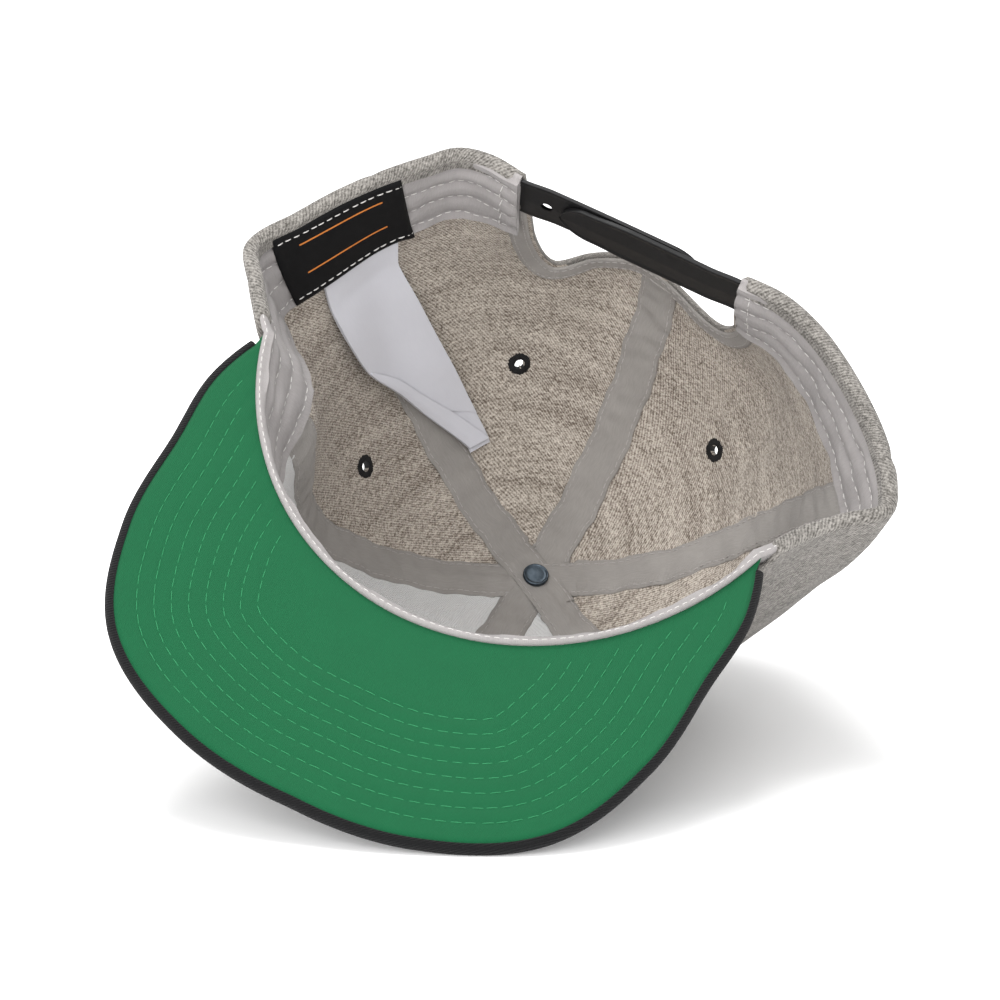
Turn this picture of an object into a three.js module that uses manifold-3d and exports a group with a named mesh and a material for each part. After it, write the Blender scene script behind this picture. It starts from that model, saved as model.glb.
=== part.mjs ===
// Snapback cap lying upside down, on the front of its crown and the edge of its peak
// Every piece is made in the cap's own frame as worn: +X to the wearer's right, +Y to the front,
// +Z up, zero at the middle of the head opening. The whole cap is laid over at the end
import * as THREE from 'three';
import { mergeVertices } from 'three/addons/utils/BufferGeometryUtils.js';
import Module from 'manifold-3d';

const wasm = await Module();
wasm.setup();

// Sizes in millimetres
const HEAD_FRONT = 95.9;
const HEAD_SIDE = 82.7;
const CROWN_SIDE = 88;
const CROWN_FRONT = 96;
const CROWN_BACK = 78;
const CROWN_HEIGHT = 124;
const APEX_BACK = 18;
const CLOTH = 1.6;
const GAP = 0.3;
const LAYER_GAP = 0.6;
const BUCKRAM = 1;
const TAPE_WIDTH = 13;
const TAPE = 1;
const BAND_WIDTH = 30;
const BAND = 1.5;
const BAND_CLEAR = 1.3;
const BINDING_WIDTH = 8;
const PEAK_LENGTH = 67.5;
const PEAK_SPREAD = 46;
const PEAK_COVER = 3;
const PEAK_EDGE = 3;
const PEAK_LINING = 1;
const PEAK_BOW = 4.5;
const EYELET_RADIUS = 3.8;
const EYELET_GAP = 0.6;
const EYELET_HOLE = 1.1;
const EYELET_BARREL = 2.1;
const EYELET_RING = 0.8;
const EYELET_RECESS = 0.9;
const BUTTON_RADIUS = 7.2;
const BUTTON_HEIGHT = 4.6;
const RIVET_RADIUS = 4.2;
const RIVET_HEIGHT = 2.2;
const POST_RADIUS = 2.2;
const POST_REACH = 10;
const STRAP_WIDTH = 18.5;
const STRAP = 1.2;
const STRAP_BOW = 1;
const STRAP_STOP = 10;
const STRAP_START = 0.72;
const PEG_RADIUS = 1.5;
const PEG_PITCH = 8;
const PEG_COUNT = 6;
const LABEL = 1;
const TAG = 1;

// Angles in degrees round the head, 0 at the front and 90 at the wearer's right
const PEAK_CORNER = 69;
const STEP_CLEAR = 1;
const STEP_SPREAD = 3;
const COLUMN_ROOM = 1.6;
const SEAM_ROOM = 2.6;
const LABEL_FROM = 238;
const LABEL_TO = 264;
const LEAN = 20;

// Shares of the way up the wall from rim to apex, and how square the crown is in plan
const RIM_FADE = 0.42;
const WALL_SHARE = 0.4;
const EYELET_SHARE = 0.58;
const TOP_SHARE = 0.977;
const OVAL_POWER = 2.15;

// How far the crown is pressed flat by the floor
const PRESS = 4;

// Shares of the sweatband's width where the label starts and ends
const LABEL_LOW = 0.05;
const LABEL_HIGH = 0.97;

// How finely the solids are faceted
const LOW_ROWS = 3;
const HIGH_ROWS = [0.46, 0.52, 0.58, 0.64, 0.7, 0.76, 0.82, 0.88, 0.93];
const ROW_ROOM = 0.015;
const FRONT_STEPS = 8;
const FRONT_STEP = 7.5;
const PEAK_COLUMNS = 28;
const PEAK_ROWS = 3;
const EYELET_SIDES = 10;
const BUTTON_SIDES = 18;
const PEG_SIDES = 8;

// Rings of the crown: along is the share of the way from rim to apex, the rest are shares of
// the crown's height, half width, front reach and back reach
const RINGS = [
  { along: 0.0, height: 0.0, side: 1.0, front: 1.0, back: 1.0 },
  { along: 0.17, height: 0.242, side: 0.949, front: 0.969, back: 1.077 },
  { along: 0.32, height: 0.444, side: 0.881, front: 0.927, back: 1.096 },
  { along: 0.46, height: 0.629, side: 0.79, front: 0.833, back: 1.026 },
  { along: 0.6, height: 0.79, side: 0.653, front: 0.688, back: 0.897 },
  { along: 0.72, height: 0.903, side: 0.477, front: 0.5, back: 0.692 },
  { along: 0.83, height: 0.968, side: 0.295, front: 0.313, back: 0.462 },
  { along: 0.92, height: 0.994, side: 0.14, front: 0.148, back: 0.219 },
  { along: 1.0, height: 1.0, side: 0.0, front: 0.0, back: 0.0 },
];

// Edge of the head opening behind the peak's corners, with the two corners that are pinched out
// at the sides: reach is a share of HEAD_SIDE, lift a share of CROWN_HEIGHT
const RIM = [
  { angle: 69, reach: 1.02, lift: -0.032 },
  { angle: 80, reach: 1.065, lift: -0.02 },
  { angle: 87, reach: 1.15, lift: -0.014 },
  { angle: 92, reach: 1.25, lift: -0.014 },
  { angle: 97, reach: 1.235, lift: -0.016 },
  { angle: 105, reach: 1.165, lift: -0.026 },
  { angle: 113, reach: 1.085, lift: -0.042 },
  { angle: 121, reach: 1.015, lift: -0.056 },
  { angle: 129, reach: 0.95, lift: -0.07 },
  { angle: 138, reach: 0.875, lift: -0.079 },
  { angle: 148, reach: 0.78, lift: -0.08 },
  { angle: 163, reach: 0.69, lift: -0.08 },
  { angle: 180, reach: 0.68, lift: -0.08 },
  { angle: 197, reach: 0.71, lift: -0.082 },
  { angle: 214, reach: 0.82, lift: -0.085 },
  { angle: 221, reach: 0.92, lift: -0.087 },
  { angle: 227, reach: 0.985, lift: -0.08 },
  { angle: 234, reach: 1.0, lift: -0.067 },
  { angle: 242, reach: 1.03, lift: -0.05 },
  { angle: 251, reach: 1.07, lift: -0.032 },
  { angle: 261, reach: 1.12, lift: -0.018 },
  { angle: 271, reach: 1.19, lift: -0.013 },
  { angle: 278, reach: 1.12, lift: -0.018 },
  { angle: 285, reach: 1.06, lift: -0.026 },
  { angle: 291, reach: 1.02, lift: -0.032 },
];

// Dents and bulges of the wall: push is a share of HEAD_SIDE, outward when positive, spread is
// in degrees to each side, and from, peak and to are shares of the way from rim to apex
const FOLDS = [
  { angle: 292, spread: 30, push: -0.17, from: 0.0, peak: 0.21, to: 0.58 },
  { angle: 186, spread: 20, push: 0.08, from: 0.04, peak: 0.3, to: 0.6 },
  { angle: 246, spread: 11, push: 0.025, from: 0.05, peak: 0.35, to: 0.72 },
  { angle: 132, spread: 14, push: -0.03, from: 0.1, peak: 0.4, to: 0.7 },
  { angle: 84, spread: 17, push: 0.05, from: 0.03, peak: 0.22, to: 0.5 },
];

// Opening above the strap: the share of the way up the wall where the cloth ends
const ARCH = [
  { angle: 148, along: 0.0 },
  { angle: 151, along: 0.09 },
  { angle: 154.5, along: 0.18 },
  { angle: 158.5, along: 0.27 },
  { angle: 163, along: 0.325 },
  { angle: 169, along: 0.325 },
  { angle: 175, along: 0.315 },
  { angle: 185, along: 0.305 },
  { angle: 195, along: 0.315 },
  { angle: 202, along: 0.34 },
  { angle: 205, along: 0.31 },
  { angle: 207.5, along: 0.24 },
  { angle: 210.5, along: 0.11 },
  { angle: 214, along: 0.0 },
];

// Seams between the panels, counted on from the back: slip is how far the foot of the seam lies
// from its angle at the top, and until is the share of the way up where that has died out
const SEAMS = [
  { angle: 180, slip: 0, until: 1 },
  { angle: 240, slip: 5, until: 0.8 },
  { angle: 300, slip: 0, until: 1 },
  { angle: 360, slip: 0, until: 1 },
  { angle: 420, slip: 0, until: 1 },
  { angle: 481, slip: -19, until: 0.66 },
  { angle: 540, slip: 0, until: 1 },
];
const [BACK_CENTRE, BACK_LEFT, FRONT_LEFT, FRONT_CENTRE, FRONT_RIGHT, BACK_RIGHT] = SEAMS;

// Outer edge of the peak round a point PEAK_SPREAD behind the front of the opening: reach is a
// share of the distance from that point to the front of the peak
const PEAK = [
  { angle: 0, reach: 1.0 },
  { angle: 18, reach: 1.012 },
  { angle: 36, reach: 0.997 },
  { angle: 54, reach: 0.882 },
  { angle: 72, reach: 0.775 },
  { angle: 90, reach: 0.748 },
  { angle: 101, reach: 0.729 },
];

// Care tag down the inside of the wall: left and right are the angles of its edges, and lift
// is how far it stands off the wall, as a share of BAND_WIDTH
const TAG_RUN = [
  { along: 0.235, left: 258, right: 239, lift: 0.0 },
  { along: 0.33, left: 257.5, right: 236, lift: 0.06 },
  { along: 0.42, left: 255.5, right: 233.5, lift: 0.1 },
  { along: 0.52, left: 249, right: 230.5, lift: 0.12 },
  { along: 0.62, left: 241.5, right: 227.5, lift: 0.09 },
  { along: 0.7, left: 233.5, right: 224, lift: 0.05 },
];

// Dome of the button and of the rivet: shares of its radius and of its height
const DOME = [
  { radius: 0.94, height: 0.0 },
  { radius: 1.0, height: 0.18 },
  { radius: 0.906, height: 0.527 },
  { radius: 0.643, height: 0.808 },
  { radius: 0.309, height: 0.96 },
  { radius: 0.0, height: 1.0 },
];

const fabric = (color, roughness) => new THREE.MeshStandardMaterial({ color, roughness, metalness: 0 });
const MATERIALS = {
  twill: fabric(0xa9a398, 0.95),
  buckram: fabric(0xd9d7d4, 0.9),
  tape: fabric(0x9b9692, 0.85),
  band: fabric(0xaaa6a4, 0.85),
  black: fabric(0x1c1b1b, 0.95),
  green: fabric(0x227f4e, 0.9),
  satin: fabric(0xe4e3ea, 0.5),
  plastic: fabric(0x1f1f20, 0.5),
  metal: new THREE.MeshStandardMaterial({ color: 0x7f858b, roughness: 0.35, metalness: 0.9 }),
};

const radians = THREE.MathUtils.degToRad;
const degrees = THREE.MathUtils.radToDeg;
const lerp = THREE.MathUtils.lerp;

function smooth(value) {
  return THREE.MathUtils.smoothstep(value, 0, 1);
}

// Smooth curve through one column of a table
function curveOf(rows, from, to) {
  const slope = (i, j) => (rows[j][to] - rows[i][to]) / (rows[j][from] - rows[i][from]);
  const last = rows.length - 1;
  const slopes = rows.map((row, i) => slope(Math.max(i - 1, 0), Math.min(i + 1, last)));
  return (value) => {
    const next = rows.findIndex((row) => row[from] > value);
    const i = next < 0 ? last - 1 : Math.max(next - 1, 0);
    const span = rows[i + 1][from] - rows[i][from];
    const s = (value - rows[i][from]) / span;
    const a = rows[i][to] * (1 + 2 * s) * (1 - s) ** 2;
    const b = rows[i + 1][to] * (3 - 2 * s) * s ** 2;
    const c = slopes[i] * span * s * (1 - s) ** 2;
    const d = slopes[i + 1] * span * s ** 2 * (1 - s);
    return a + b + c - d;
  };
}

const ringHeight = curveOf(RINGS, 'along', 'height');
const ringSide = curveOf(RINGS, 'along', 'side');
const ringFront = curveOf(RINGS, 'along', 'front');
const ringBack = curveOf(RINGS, 'along', 'back');
const rimReach = curveOf(RIM, 'angle', 'reach');
const rimLift = curveOf(RIM, 'angle', 'lift');
const archShare = curveOf(ARCH, 'angle', 'along');
const peakShare = curveOf(PEAK, 'angle', 'reach');

// Angle from 0 up to 360
function turn(angle) {
  return ((angle % 360) + 360) % 360;
}

// Angle from the front, with its side left out
function fromFront(angle) {
  const round = turn(angle);
  return Math.min(round, 360 - round);
}

// Height of the peak's plane above or below its middle line, which bows down to the sides
function bowAt(x) {
  return -PEAK_BOW * (x / HEAD_SIDE) ** 2;
}

function openingReach(angle) {
  const a = radians(angle);
  return 1 / Math.hypot(Math.sin(a) / HEAD_SIDE, Math.cos(a) / HEAD_FRONT);
}

// Reach and height of the head opening's edge
function rimAt(angle) {
  if (fromFront(angle) < PEAK_CORNER) {
    const reach = openingReach(angle);
    return { reach, height: bowAt(reach * Math.sin(radians(angle))) };
  }
  const round = turn(angle);
  return { reach: rimReach(round) * HEAD_SIDE, height: rimLift(round) * CROWN_HEIGHT };
}

function oval(angle, side, front, back) {
  const a = radians(angle);
  const long = Math.cos(a) > 0 ? front : back;
  const across = Math.abs(Math.sin(a) / side) ** OVAL_POWER;
  const ahead = Math.abs(Math.cos(a) / long) ** OVAL_POWER;
  return (across + ahead) ** (-1 / OVAL_POWER);
}

function foldPush(angle, along) {
  let push = 0;
  for (const fold of FOLDS) {
    const aside = Math.abs(((angle - fold.angle + 540) % 360) - 180) / fold.spread;
    const rise = smooth((along - fold.from) / (fold.peak - fold.from));
    const fade = 1 - smooth((along - fold.peak) / (fold.to - fold.peak));
    push += fold.push * HEAD_SIDE * (1 - smooth(aside)) * Math.min(rise, fade);
  }
  return push;
}

// Distance of the crown's inner face from the axis
function crownReach(angle, along) {
  if (along >= 1) {
    return 0;
  }
  const side = ringSide(along) * CROWN_SIDE;
  const ring = oval(angle, side, ringFront(along) * CROWN_FRONT, ringBack(along) * CROWN_BACK);
  const base = oval(angle, CROWN_SIDE, CROWN_FRONT, CROWN_BACK);
  const pinch = (rimAt(angle).reach - base) * (1 - smooth(along / RIM_FADE));
  return ring + pinch + foldPush(turn(angle), along);
}

function crownInside(angle, along) {
  const a = radians(angle);
  const reach = crownReach(angle, along);
  const height = ringHeight(along);
  const z = lerp(rimAt(angle).height, CROWN_HEIGHT, height);
  return new THREE.Vector3(reach * Math.sin(a), reach * Math.cos(a) - APEX_BACK * smooth(along), z);
}

// Outward direction of the wall
function crownNormal(angle, along) {
  const round = crownInside(angle + 2, along).sub(crownInside(angle - 2, along));
  const up = crownInside(angle, along + 0.01).sub(crownInside(angle, Math.max(along - 0.01, 0)));
  return up.cross(round).normalize();
}

function crownOutside(angle, along) {
  return crownInside(angle, along).addScaledVector(crownNormal(angle, along), CLOTH);
}

// Point of the peak's outer edge, pulled in by inset and raised by rise above its underside
function peakEdge(angle, inset, rise) {
  const a = radians(angle);
  const full = PEAK_LENGTH + PEAK_SPREAD;
  const reach = peakShare(Math.abs(angle)) * full - inset;
  const x = reach * Math.sin(a);
  return new THREE.Vector3(x, HEAD_FRONT - PEAK_SPREAD + reach * Math.cos(a), bowAt(x) + rise);
}

// The cap leans to one side and pitches forward until the crown's front is pressed flat by PRESS
const PEAK_END = PEAK[PEAK.length - 1].angle;
const peakParts = [];
for (let column = 0; column <= PEAK_COLUMNS; column += 1) {
  peakParts.push((2 * column) / PEAK_COLUMNS - 1);
}
const peakEdges = peakParts.map((part) => peakEdge(part * PEAK_END, 0, PEAK_COVER));
const crownPoints = [];
for (let angle = -90; angle <= 90; angle += 4) {
  for (let along = 0.3; along < TOP_SHARE; along += 0.02) {
    crownPoints.push(crownOutside(angle, along));
  }
}

function downAt(pitch) {
  const lean = radians(LEAN);
  const ahead = Math.cos(lean);
  return new THREE.Vector3(Math.sin(lean), ahead * Math.sin(pitch), ahead * Math.cos(pitch));
}

function furthest(points, direction) {
  return points.reduce((best, point) => (point.dot(direction) > best.dot(direction) ? point : best));
}

function layOver() {
  let low = radians(10);
  let high = radians(75);
  for (let step = 0; step < 40; step += 1) {
    const middle = (low + high) / 2;
    const down = downAt(middle);
    const depth = furthest(crownPoints, down).dot(down) - furthest(peakEdges, down).dot(down);
    if (depth > PRESS) {
      low = middle;
    } else {
      high = middle;
    }
  }
  return low;
}

const pitch = layOver();
const down = downAt(pitch);
const floor = furthest(peakEdges, down).dot(down);
const lowest = furthest(crownPoints, down);
const restPoint = lowest.clone().addScaledVector(down, floor - lowest.dot(down));

// Point of the crown at a depth below its outer face, flat where the crown is pressed
function crown(angle, along, depth) {
  const point = crownInside(angle, along).addScaledVector(crownNormal(angle, along), CLOTH - depth);
  const over = point.dot(down) - (floor - depth);
  return over > 0 ? point.addScaledVector(down, -over) : point;
}

// Share of the way up where the wall has climbed a distance from a starting share
function climb(angle, start, distance) {
  const step = 0.004;
  let along = start;
  let left = distance;
  let here = crownInside(angle, along);
  while (left > 0 && along < 1) {
    const next = crownInside(angle, along + step);
    const length = next.distanceTo(here);
    along += length > left ? (step * left) / length : step;
    left -= length;
    here = next;
  }
  return along;
}

function seamAngle(seam, along) {
  return seam.angle + seam.slip * (1 - smooth(along / seam.until));
}

// Share where the cloth of the crown starts: at the rim, on the peak or over the back opening
function clothStart(angle) {
  const round = turn(angle);
  if (round > ARCH[0].angle && round < ARCH[ARCH.length - 1].angle) {
    return Math.max(archShare(round), 0);
  }
  const onPeak = 1 - smooth((fromFront(angle) - PEAK_CORNER - STEP_CLEAR) / STEP_SPREAD);
  return onPeak > 0 ? climb(angle, 0, onPeak * (PEAK_COVER + PEAK_LINING + GAP)) : 0;
}

// Shares of the rows of a layer from its foot: to the top of the sweatband, from there to
// WALL_SHARE, and then the rows that all layers have in common
function rowShares(start, top, end) {
  const turning = top > start + ROW_ROOM ? top : (start + WALL_SHARE) / 2;
  const rows = [];
  for (let row = 0; row < LOW_ROWS; row += 1) {
    rows.push(lerp(start, turning, row / LOW_ROWS));
  }
  for (let row = 0; row <= LOW_ROWS; row += 1) {
    rows.push(lerp(turning, WALL_SHARE, row / LOW_ROWS));
  }
  return rows.concat(HIGH_ROWS.filter((share) => share < end - ROW_ROOM), [end]);
}

// Top edge of the sweatband, and the foot of what starts above it
function bandTop(angle) {
  return climb(angle, 0, BAND_WIDTH);
}

function aboveBand(angle) {
  return climb(angle, 0, BAND_WIDTH + BAND_CLEAR);
}

function bandTopOn(line) {
  return bandTop(line(bandTop(line(0))));
}

function solidOf(vertices, triangles) {
  const geometry = new THREE.BufferGeometry();
  const flat = vertices.flatMap((vertex) => [vertex.x, vertex.y, vertex.z]);
  geometry.setAttribute('position', new THREE.Float32BufferAttribute(flat, 3));
  geometry.setIndex(triangles);
  return geometry;
}

function volumeOf(vertices, triangles) {
  let sum = 0;
  for (let i = 0; i < triangles.length; i += 3) {
    const [a, b, c] = [0, 1, 2].map((k) => vertices[triangles[i + k]]);
    sum += a.dot(b.clone().cross(c));
  }
  return sum;
}

// Closed slab between two grids of the same size
function slab(near, far) {
  const rows = near.length;
  const columns = near[0].length;
  const vertices = near.flat().concat(far.flat());
  const shift = rows * columns;
  const triangles = [];
  const quad = (a, b, c, d) => triangles.push(a, b, c, a, c, d);
  const at = (i, j) => i * columns + j;
  for (let i = 0; i + 1 < rows; i += 1) {
    for (let j = 0; j + 1 < columns; j += 1) {
      quad(at(i, j), at(i, j + 1), at(i + 1, j + 1), at(i + 1, j));
      quad(at(i, j) + shift, at(i + 1, j) + shift, at(i + 1, j + 1) + shift, at(i, j + 1) + shift);
    }
    quad(at(i, 0), at(i + 1, 0), at(i + 1, 0) + shift, at(i, 0) + shift);
    const end = columns - 1;
    quad(at(i + 1, end), at(i, end), at(i, end) + shift, at(i + 1, end) + shift);
  }
  for (let j = 0; j + 1 < columns; j += 1) {
    quad(at(0, j + 1), at(0, j), at(0, j) + shift, at(0, j + 1) + shift);
    const end = rows - 1;
    quad(at(end, j), at(end, j + 1), at(end, j + 1) + shift, at(end, j) + shift);
  }
  if (volumeOf(vertices, triangles) < 0) {
    triangles.reverse();
  }
  return solidOf(vertices, triangles);
}

// Layer of the crown between two depths over a grid of angle and share pairs
function layer(grid, outer, thickness) {
  const near = grid.map((row) => row.map(([angle, along]) => crown(angle, along, outer)));
  const far = grid.map((row) => row.map(([angle, along]) => crown(angle, along, outer + thickness)));
  return slab(near, far);
}

function toManifold(geometry) {
  const bare = geometry.clone();
  bare.deleteAttribute('normal');
  bare.deleteAttribute('uv');
  const merged = mergeVertices(bare, 1e-4);
  return new wasm.Manifold(new wasm.Mesh({
    numProp: 3,
    vertProperties: new Float32Array(merged.attributes.position.array),
    triVerts: new Uint32Array(merged.index.array),
  }));
}

function fromManifold(solid) {
  const mesh = solid.getMesh();
  const geometry = new THREE.BufferGeometry();
  geometry.setAttribute('position', new THREE.BufferAttribute(mesh.vertProperties, 3));
  geometry.setIndex(new THREE.BufferAttribute(mesh.triVerts, 1));
  return geometry;
}

function cut(geometry, tools) {
  return fromManifold(tools.reduce((solid, tool) => solid.subtract(toManifold(tool)), toManifold(geometry)));
}

function join(geometry, others) {
  return fromManifold(others.reduce((solid, other) => solid.add(toManifold(other)), toManifold(geometry)));
}

// Turned profile of [radius, height] pairs standing on a point along a direction
function turned(profile, point, direction, sides) {
  const outline = profile.map(([radius, height]) => new THREE.Vector2(radius, height));
  const geometry = new THREE.LatheGeometry(outline, sides);
  const stand = new THREE.Quaternion().setFromUnitVectors(new THREE.Vector3(0, 1, 0), direction);
  return geometry.applyQuaternion(stand).translate(point.x, point.y, point.z);
}

function rod(point, direction, radius, from, to, sides) {
  return turned([[0, from], [radius, from], [radius, to], [0, to]], point, direction, sides);
}

const cap = new THREE.Group();

function place(name, geometry, material) {
  geometry.deleteAttribute('uv');
  geometry.computeVertexNormals();
  const mesh = new THREE.Mesh(geometry, material);
  mesh.name = name;
  cap.add(mesh);
}

// Angles where the cloth needs a column: those of the tables, the peak's corners and even steps
const stepEnd = PEAK_CORNER + STEP_CLEAR + STEP_SPREAD;
const extraAngles = [stepEnd, 360 - stepEnd, LABEL_TO + 1.5];
const tableAngles = [...RIM, ...ARCH].map((row) => row.angle).concat(extraAngles);
const columnAngles = tableAngles.map((angle) => (angle < 180 ? angle + 360 : angle));
for (let step = -FRONT_STEPS; step <= FRONT_STEPS; step += 1) {
  columnAngles.push(360 + step * FRONT_STEP);
}

// Shares of the way across a panel where its columns stand
function columnShares(from, to) {
  const start = seamAngle(from, 0);
  const end = seamAngle(to, 0);
  const sorted = [...new Set(columnAngles)].sort((a, b) => a - b);
  const inside = sorted.filter((angle) => angle > start + SEAM_ROOM && angle < end - SEAM_ROOM);
  const middle = (eyeletAngle(from, to) - seamAngle(from, EYELET_SHARE))
    / (seamAngle(to, EYELET_SHARE) - seamAngle(from, EYELET_SHARE));
  const shares = inside.map((angle) => (angle - start) / (end - start));
  const room = COLUMN_ROOM / (end - start);
  const spaced = shares.filter((share, i) => i === 0 || share - shares[i - 1] > room);
  const clear = spaced.filter((share) => Math.abs(share - middle) > 1.5 * room);
  return [0, ...clear, middle, 1].sort((a, b) => a - b);
}

// Line up the wall between two seams
function lineBetween(from, to, share) {
  return (along) => lerp(seamAngle(from, along), seamAngle(to, along), share);
}

// Share where a line up the wall meets the edge of the cloth
function lineStart(line) {
  let low = 0;
  let high = WALL_SHARE;
  for (let step = 0; step < 24; step += 1) {
    const middle = (low + high) / 2;
    if (middle < clothStart(line(middle))) {
      low = middle;
    } else {
      high = middle;
    }
  }
  return low < 1e-4 ? 0 : low;
}

// Angle that an arc of the wall at some distance from the axis takes up
function arcAngle(angle, along, distance) {
  return degrees(Math.asin(Math.min(distance / crownReach(angle, along), 1)));
}

// Eyelets stand in the middle of the panels
function eyeletAngle(from, to) {
  return (seamAngle(from, 1) + seamAngle(to, 1)) / 2;
}

function eyeletSpot(from, to) {
  const angle = eyeletAngle(from, to);
  const at = (turned, raised) => crown(angle + turned, EYELET_SHARE + raised, 0);
  const round = at(2, 0).sub(at(-2, 0));
  const up = at(0, 0.01).sub(at(0, -0.01));
  return { point: at(0, 0), direction: up.cross(round).normalize() };
}

function eyeletHole(from, to) {
  const { point, direction } = eyeletSpot(from, to);
  return rod(point, direction, EYELET_BARREL + GAP, -4 * CLOTH, CLOTH, EYELET_SIDES);
}

// Shallow seat in the cloth's outer face for the eyelet's outer ring
function eyeletRecess(from, to) {
  const { point, direction } = eyeletSpot(from, to);
  return rod(point, direction, EYELET_RADIUS + GAP, -EYELET_RECESS, CLOTH, EYELET_SIDES);
}

function panelGrid(from, to) {
  return columnShares(from, to).map((share) => {
    const side = (share === 0) - (share === 1);
    const middle = lineBetween(from, to, share);
    const line = (along) => middle(along) + side * arcAngle(middle(along), along, GAP / 2);
    const rows = rowShares(lineStart(line), bandTopOn(line), TOP_SHARE);
    return rows.map((along) => [line(along), along]);
  });
}

const PANELS = ['back_left', 'side_left', 'front_left', 'front_right', 'side_right', 'back_right'];
PANELS.forEach((name, i) => {
  const panel = layer(panelGrid(SEAMS[i], SEAMS[i + 1]), 0, CLOTH);
  const tools = [eyeletHole(SEAMS[i], SEAMS[i + 1]), eyeletRecess(SEAMS[i], SEAMS[i + 1])];
  place(`crown_${name}`, cut(panel, tools), MATERIALS.twill);
});

// Depths of the layers below the outer face of the cloth
const LAYER_DEPTH = CLOTH + LAYER_GAP;
const LINING_DEPTH = LAYER_DEPTH + GAP;
const BAND_DEPTH = LAYER_DEPTH + BAND;

// Share where a ring of a given radius runs round the apex
function shareAt(angle, radius) {
  let low = 0.5;
  let high = 1;
  for (let step = 0; step < 30; step += 1) {
    const middle = (low + high) / 2;
    if (crownReach(angle, middle) > radius) {
      low = middle;
    } else {
      high = middle;
    }
  }
  return low;
}

const TAPE_HALF = TAPE_WIDTH / 2;
const TAPE_STOP = TAPE_HALF / Math.tan(radians(30)) + 5 * LAYER_GAP;

// Buckram lies between the tapes of its panel
const LINING_SHARES = [0, 0.17, 0.33, 0.5, 0.67, 0.83, 1];

function buildLining(name, from, to) {
  const end = shareAt(eyeletAngle(from, to), TAPE_STOP + TAPE_HALF);
  const grid = LINING_SHARES.map((share) => {
    const line = lineBetween(from, to, share);
    return rowShares(aboveBand(line(bandTopOn(line))), 0, end).map((along) => {
      const inset = arcAngle(line(along), along, TAPE_HALF + LAYER_GAP);
      return [lerp(seamAngle(from, along) + inset, seamAngle(to, along) - inset, share), along];
    });
  });
  place(name, cut(layer(grid, LINING_DEPTH, BUCKRAM), [eyeletHole(from, to)]), MATERIALS.buckram);
}

buildLining('buckram_left', FRONT_LEFT, FRONT_CENTRE);
buildLining('buckram_right', FRONT_CENTRE, FRONT_RIGHT);

// Rows of angle and share pairs up a tape: side is -1 to run across it the other way
const ACROSS_TAPE = [-1, 0, 1];

function tapeRows(seam, start, side) {
  const end = shareAt(seam.angle, TAPE_STOP);
  return rowShares(start, 0, end).map((along) => {
    const middle = seamAngle(seam, along);
    const half = side * arcAngle(middle, along, TAPE_HALF);
    return ACROSS_TAPE.map((part) => [middle + part * half, along]);
  });
}

function tapeFoot(seam) {
  return aboveBand(seamAngle(seam, bandTop(seam.angle)));
}

for (const [name, seam] of [['left', FRONT_LEFT], ['front', FRONT_CENTRE], ['right', BACK_RIGHT]]) {
  place(`tape_${name}`, layer(tapeRows(seam, tapeFoot(seam), 1), LAYER_DEPTH, TAPE), MATERIALS.tape);
}

// The back tape starts at the binding of the opening
const backFoot = climb(180, archShare(180), BINDING_WIDTH + 2 * LAYER_GAP);
place('tape_back', layer(tapeRows(BACK_CENTRE, backFoot, 1), LAYER_DEPTH, TAPE), MATERIALS.tape);

// The long tape runs up one seam, over the apex and down the seam across from it
const CROSSING_SHARES = [-0.7, -0.45, -0.2, 0, 0.2, 0.45, 0.7];

function crossing(offset) {
  const axis = radians(FRONT_RIGHT.angle);
  return ACROSS_TAPE.map((part) => {
    const aside = part * TAPE_HALF;
    const x = offset * Math.sin(axis) + aside * Math.cos(axis);
    const y = offset * Math.cos(axis) - aside * Math.sin(axis);
    const angle = degrees(Math.atan2(x, y));
    return [angle, shareAt(angle, Math.hypot(x, y))];
  });
}

const leftRun = tapeRows(BACK_LEFT, tapeFoot(BACK_LEFT), -1);
const rightRun = tapeRows(FRONT_RIGHT, tapeFoot(FRONT_RIGHT), 1).reverse();
const middleRun = CROSSING_SHARES.map((share) => crossing(share * TAPE_STOP));
const longTape = layer([...leftRun, ...middleRun, ...rightRun], LAYER_DEPTH, TAPE);
const apex = new THREE.Vector3(0, -APEX_BACK, CROWN_HEIGHT + CLOTH);
const upward = new THREE.Vector3(0, 0, 1);
const postHole = rod(apex, upward, POST_RADIUS + GAP, -POST_REACH, POST_REACH, BUTTON_SIDES);
place('tape_over_top', cut(longTape, [postHole]), MATERIALS.tape);

// Covered button outside, and the rivet that holds it inside
function domeProfile(radius, height, foot) {
  return [[0, foot], ...DOME.map((row) => [radius * row.radius, foot + height * row.height])];
}

const rivetFace = LAYER_DEPTH + TAPE + 2 * GAP;
const button = turned(domeProfile(BUTTON_RADIUS, BUTTON_HEIGHT, GAP), apex, upward, BUTTON_SIDES);
const post = rod(apex, upward, POST_RADIUS, -rivetFace + GAP, GAP + BUTTON_HEIGHT / 2, BUTTON_SIDES);
place('button', join(button, [post]), MATERIALS.twill);
const inward = new THREE.Vector3(0, 0, -1);
const rivet = turned(domeProfile(RIVET_RADIUS, RIVET_HEIGHT, rivetFace), apex, inward, BUTTON_SIDES);
place('button_rivet', rivet, MATERIALS.metal);

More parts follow.
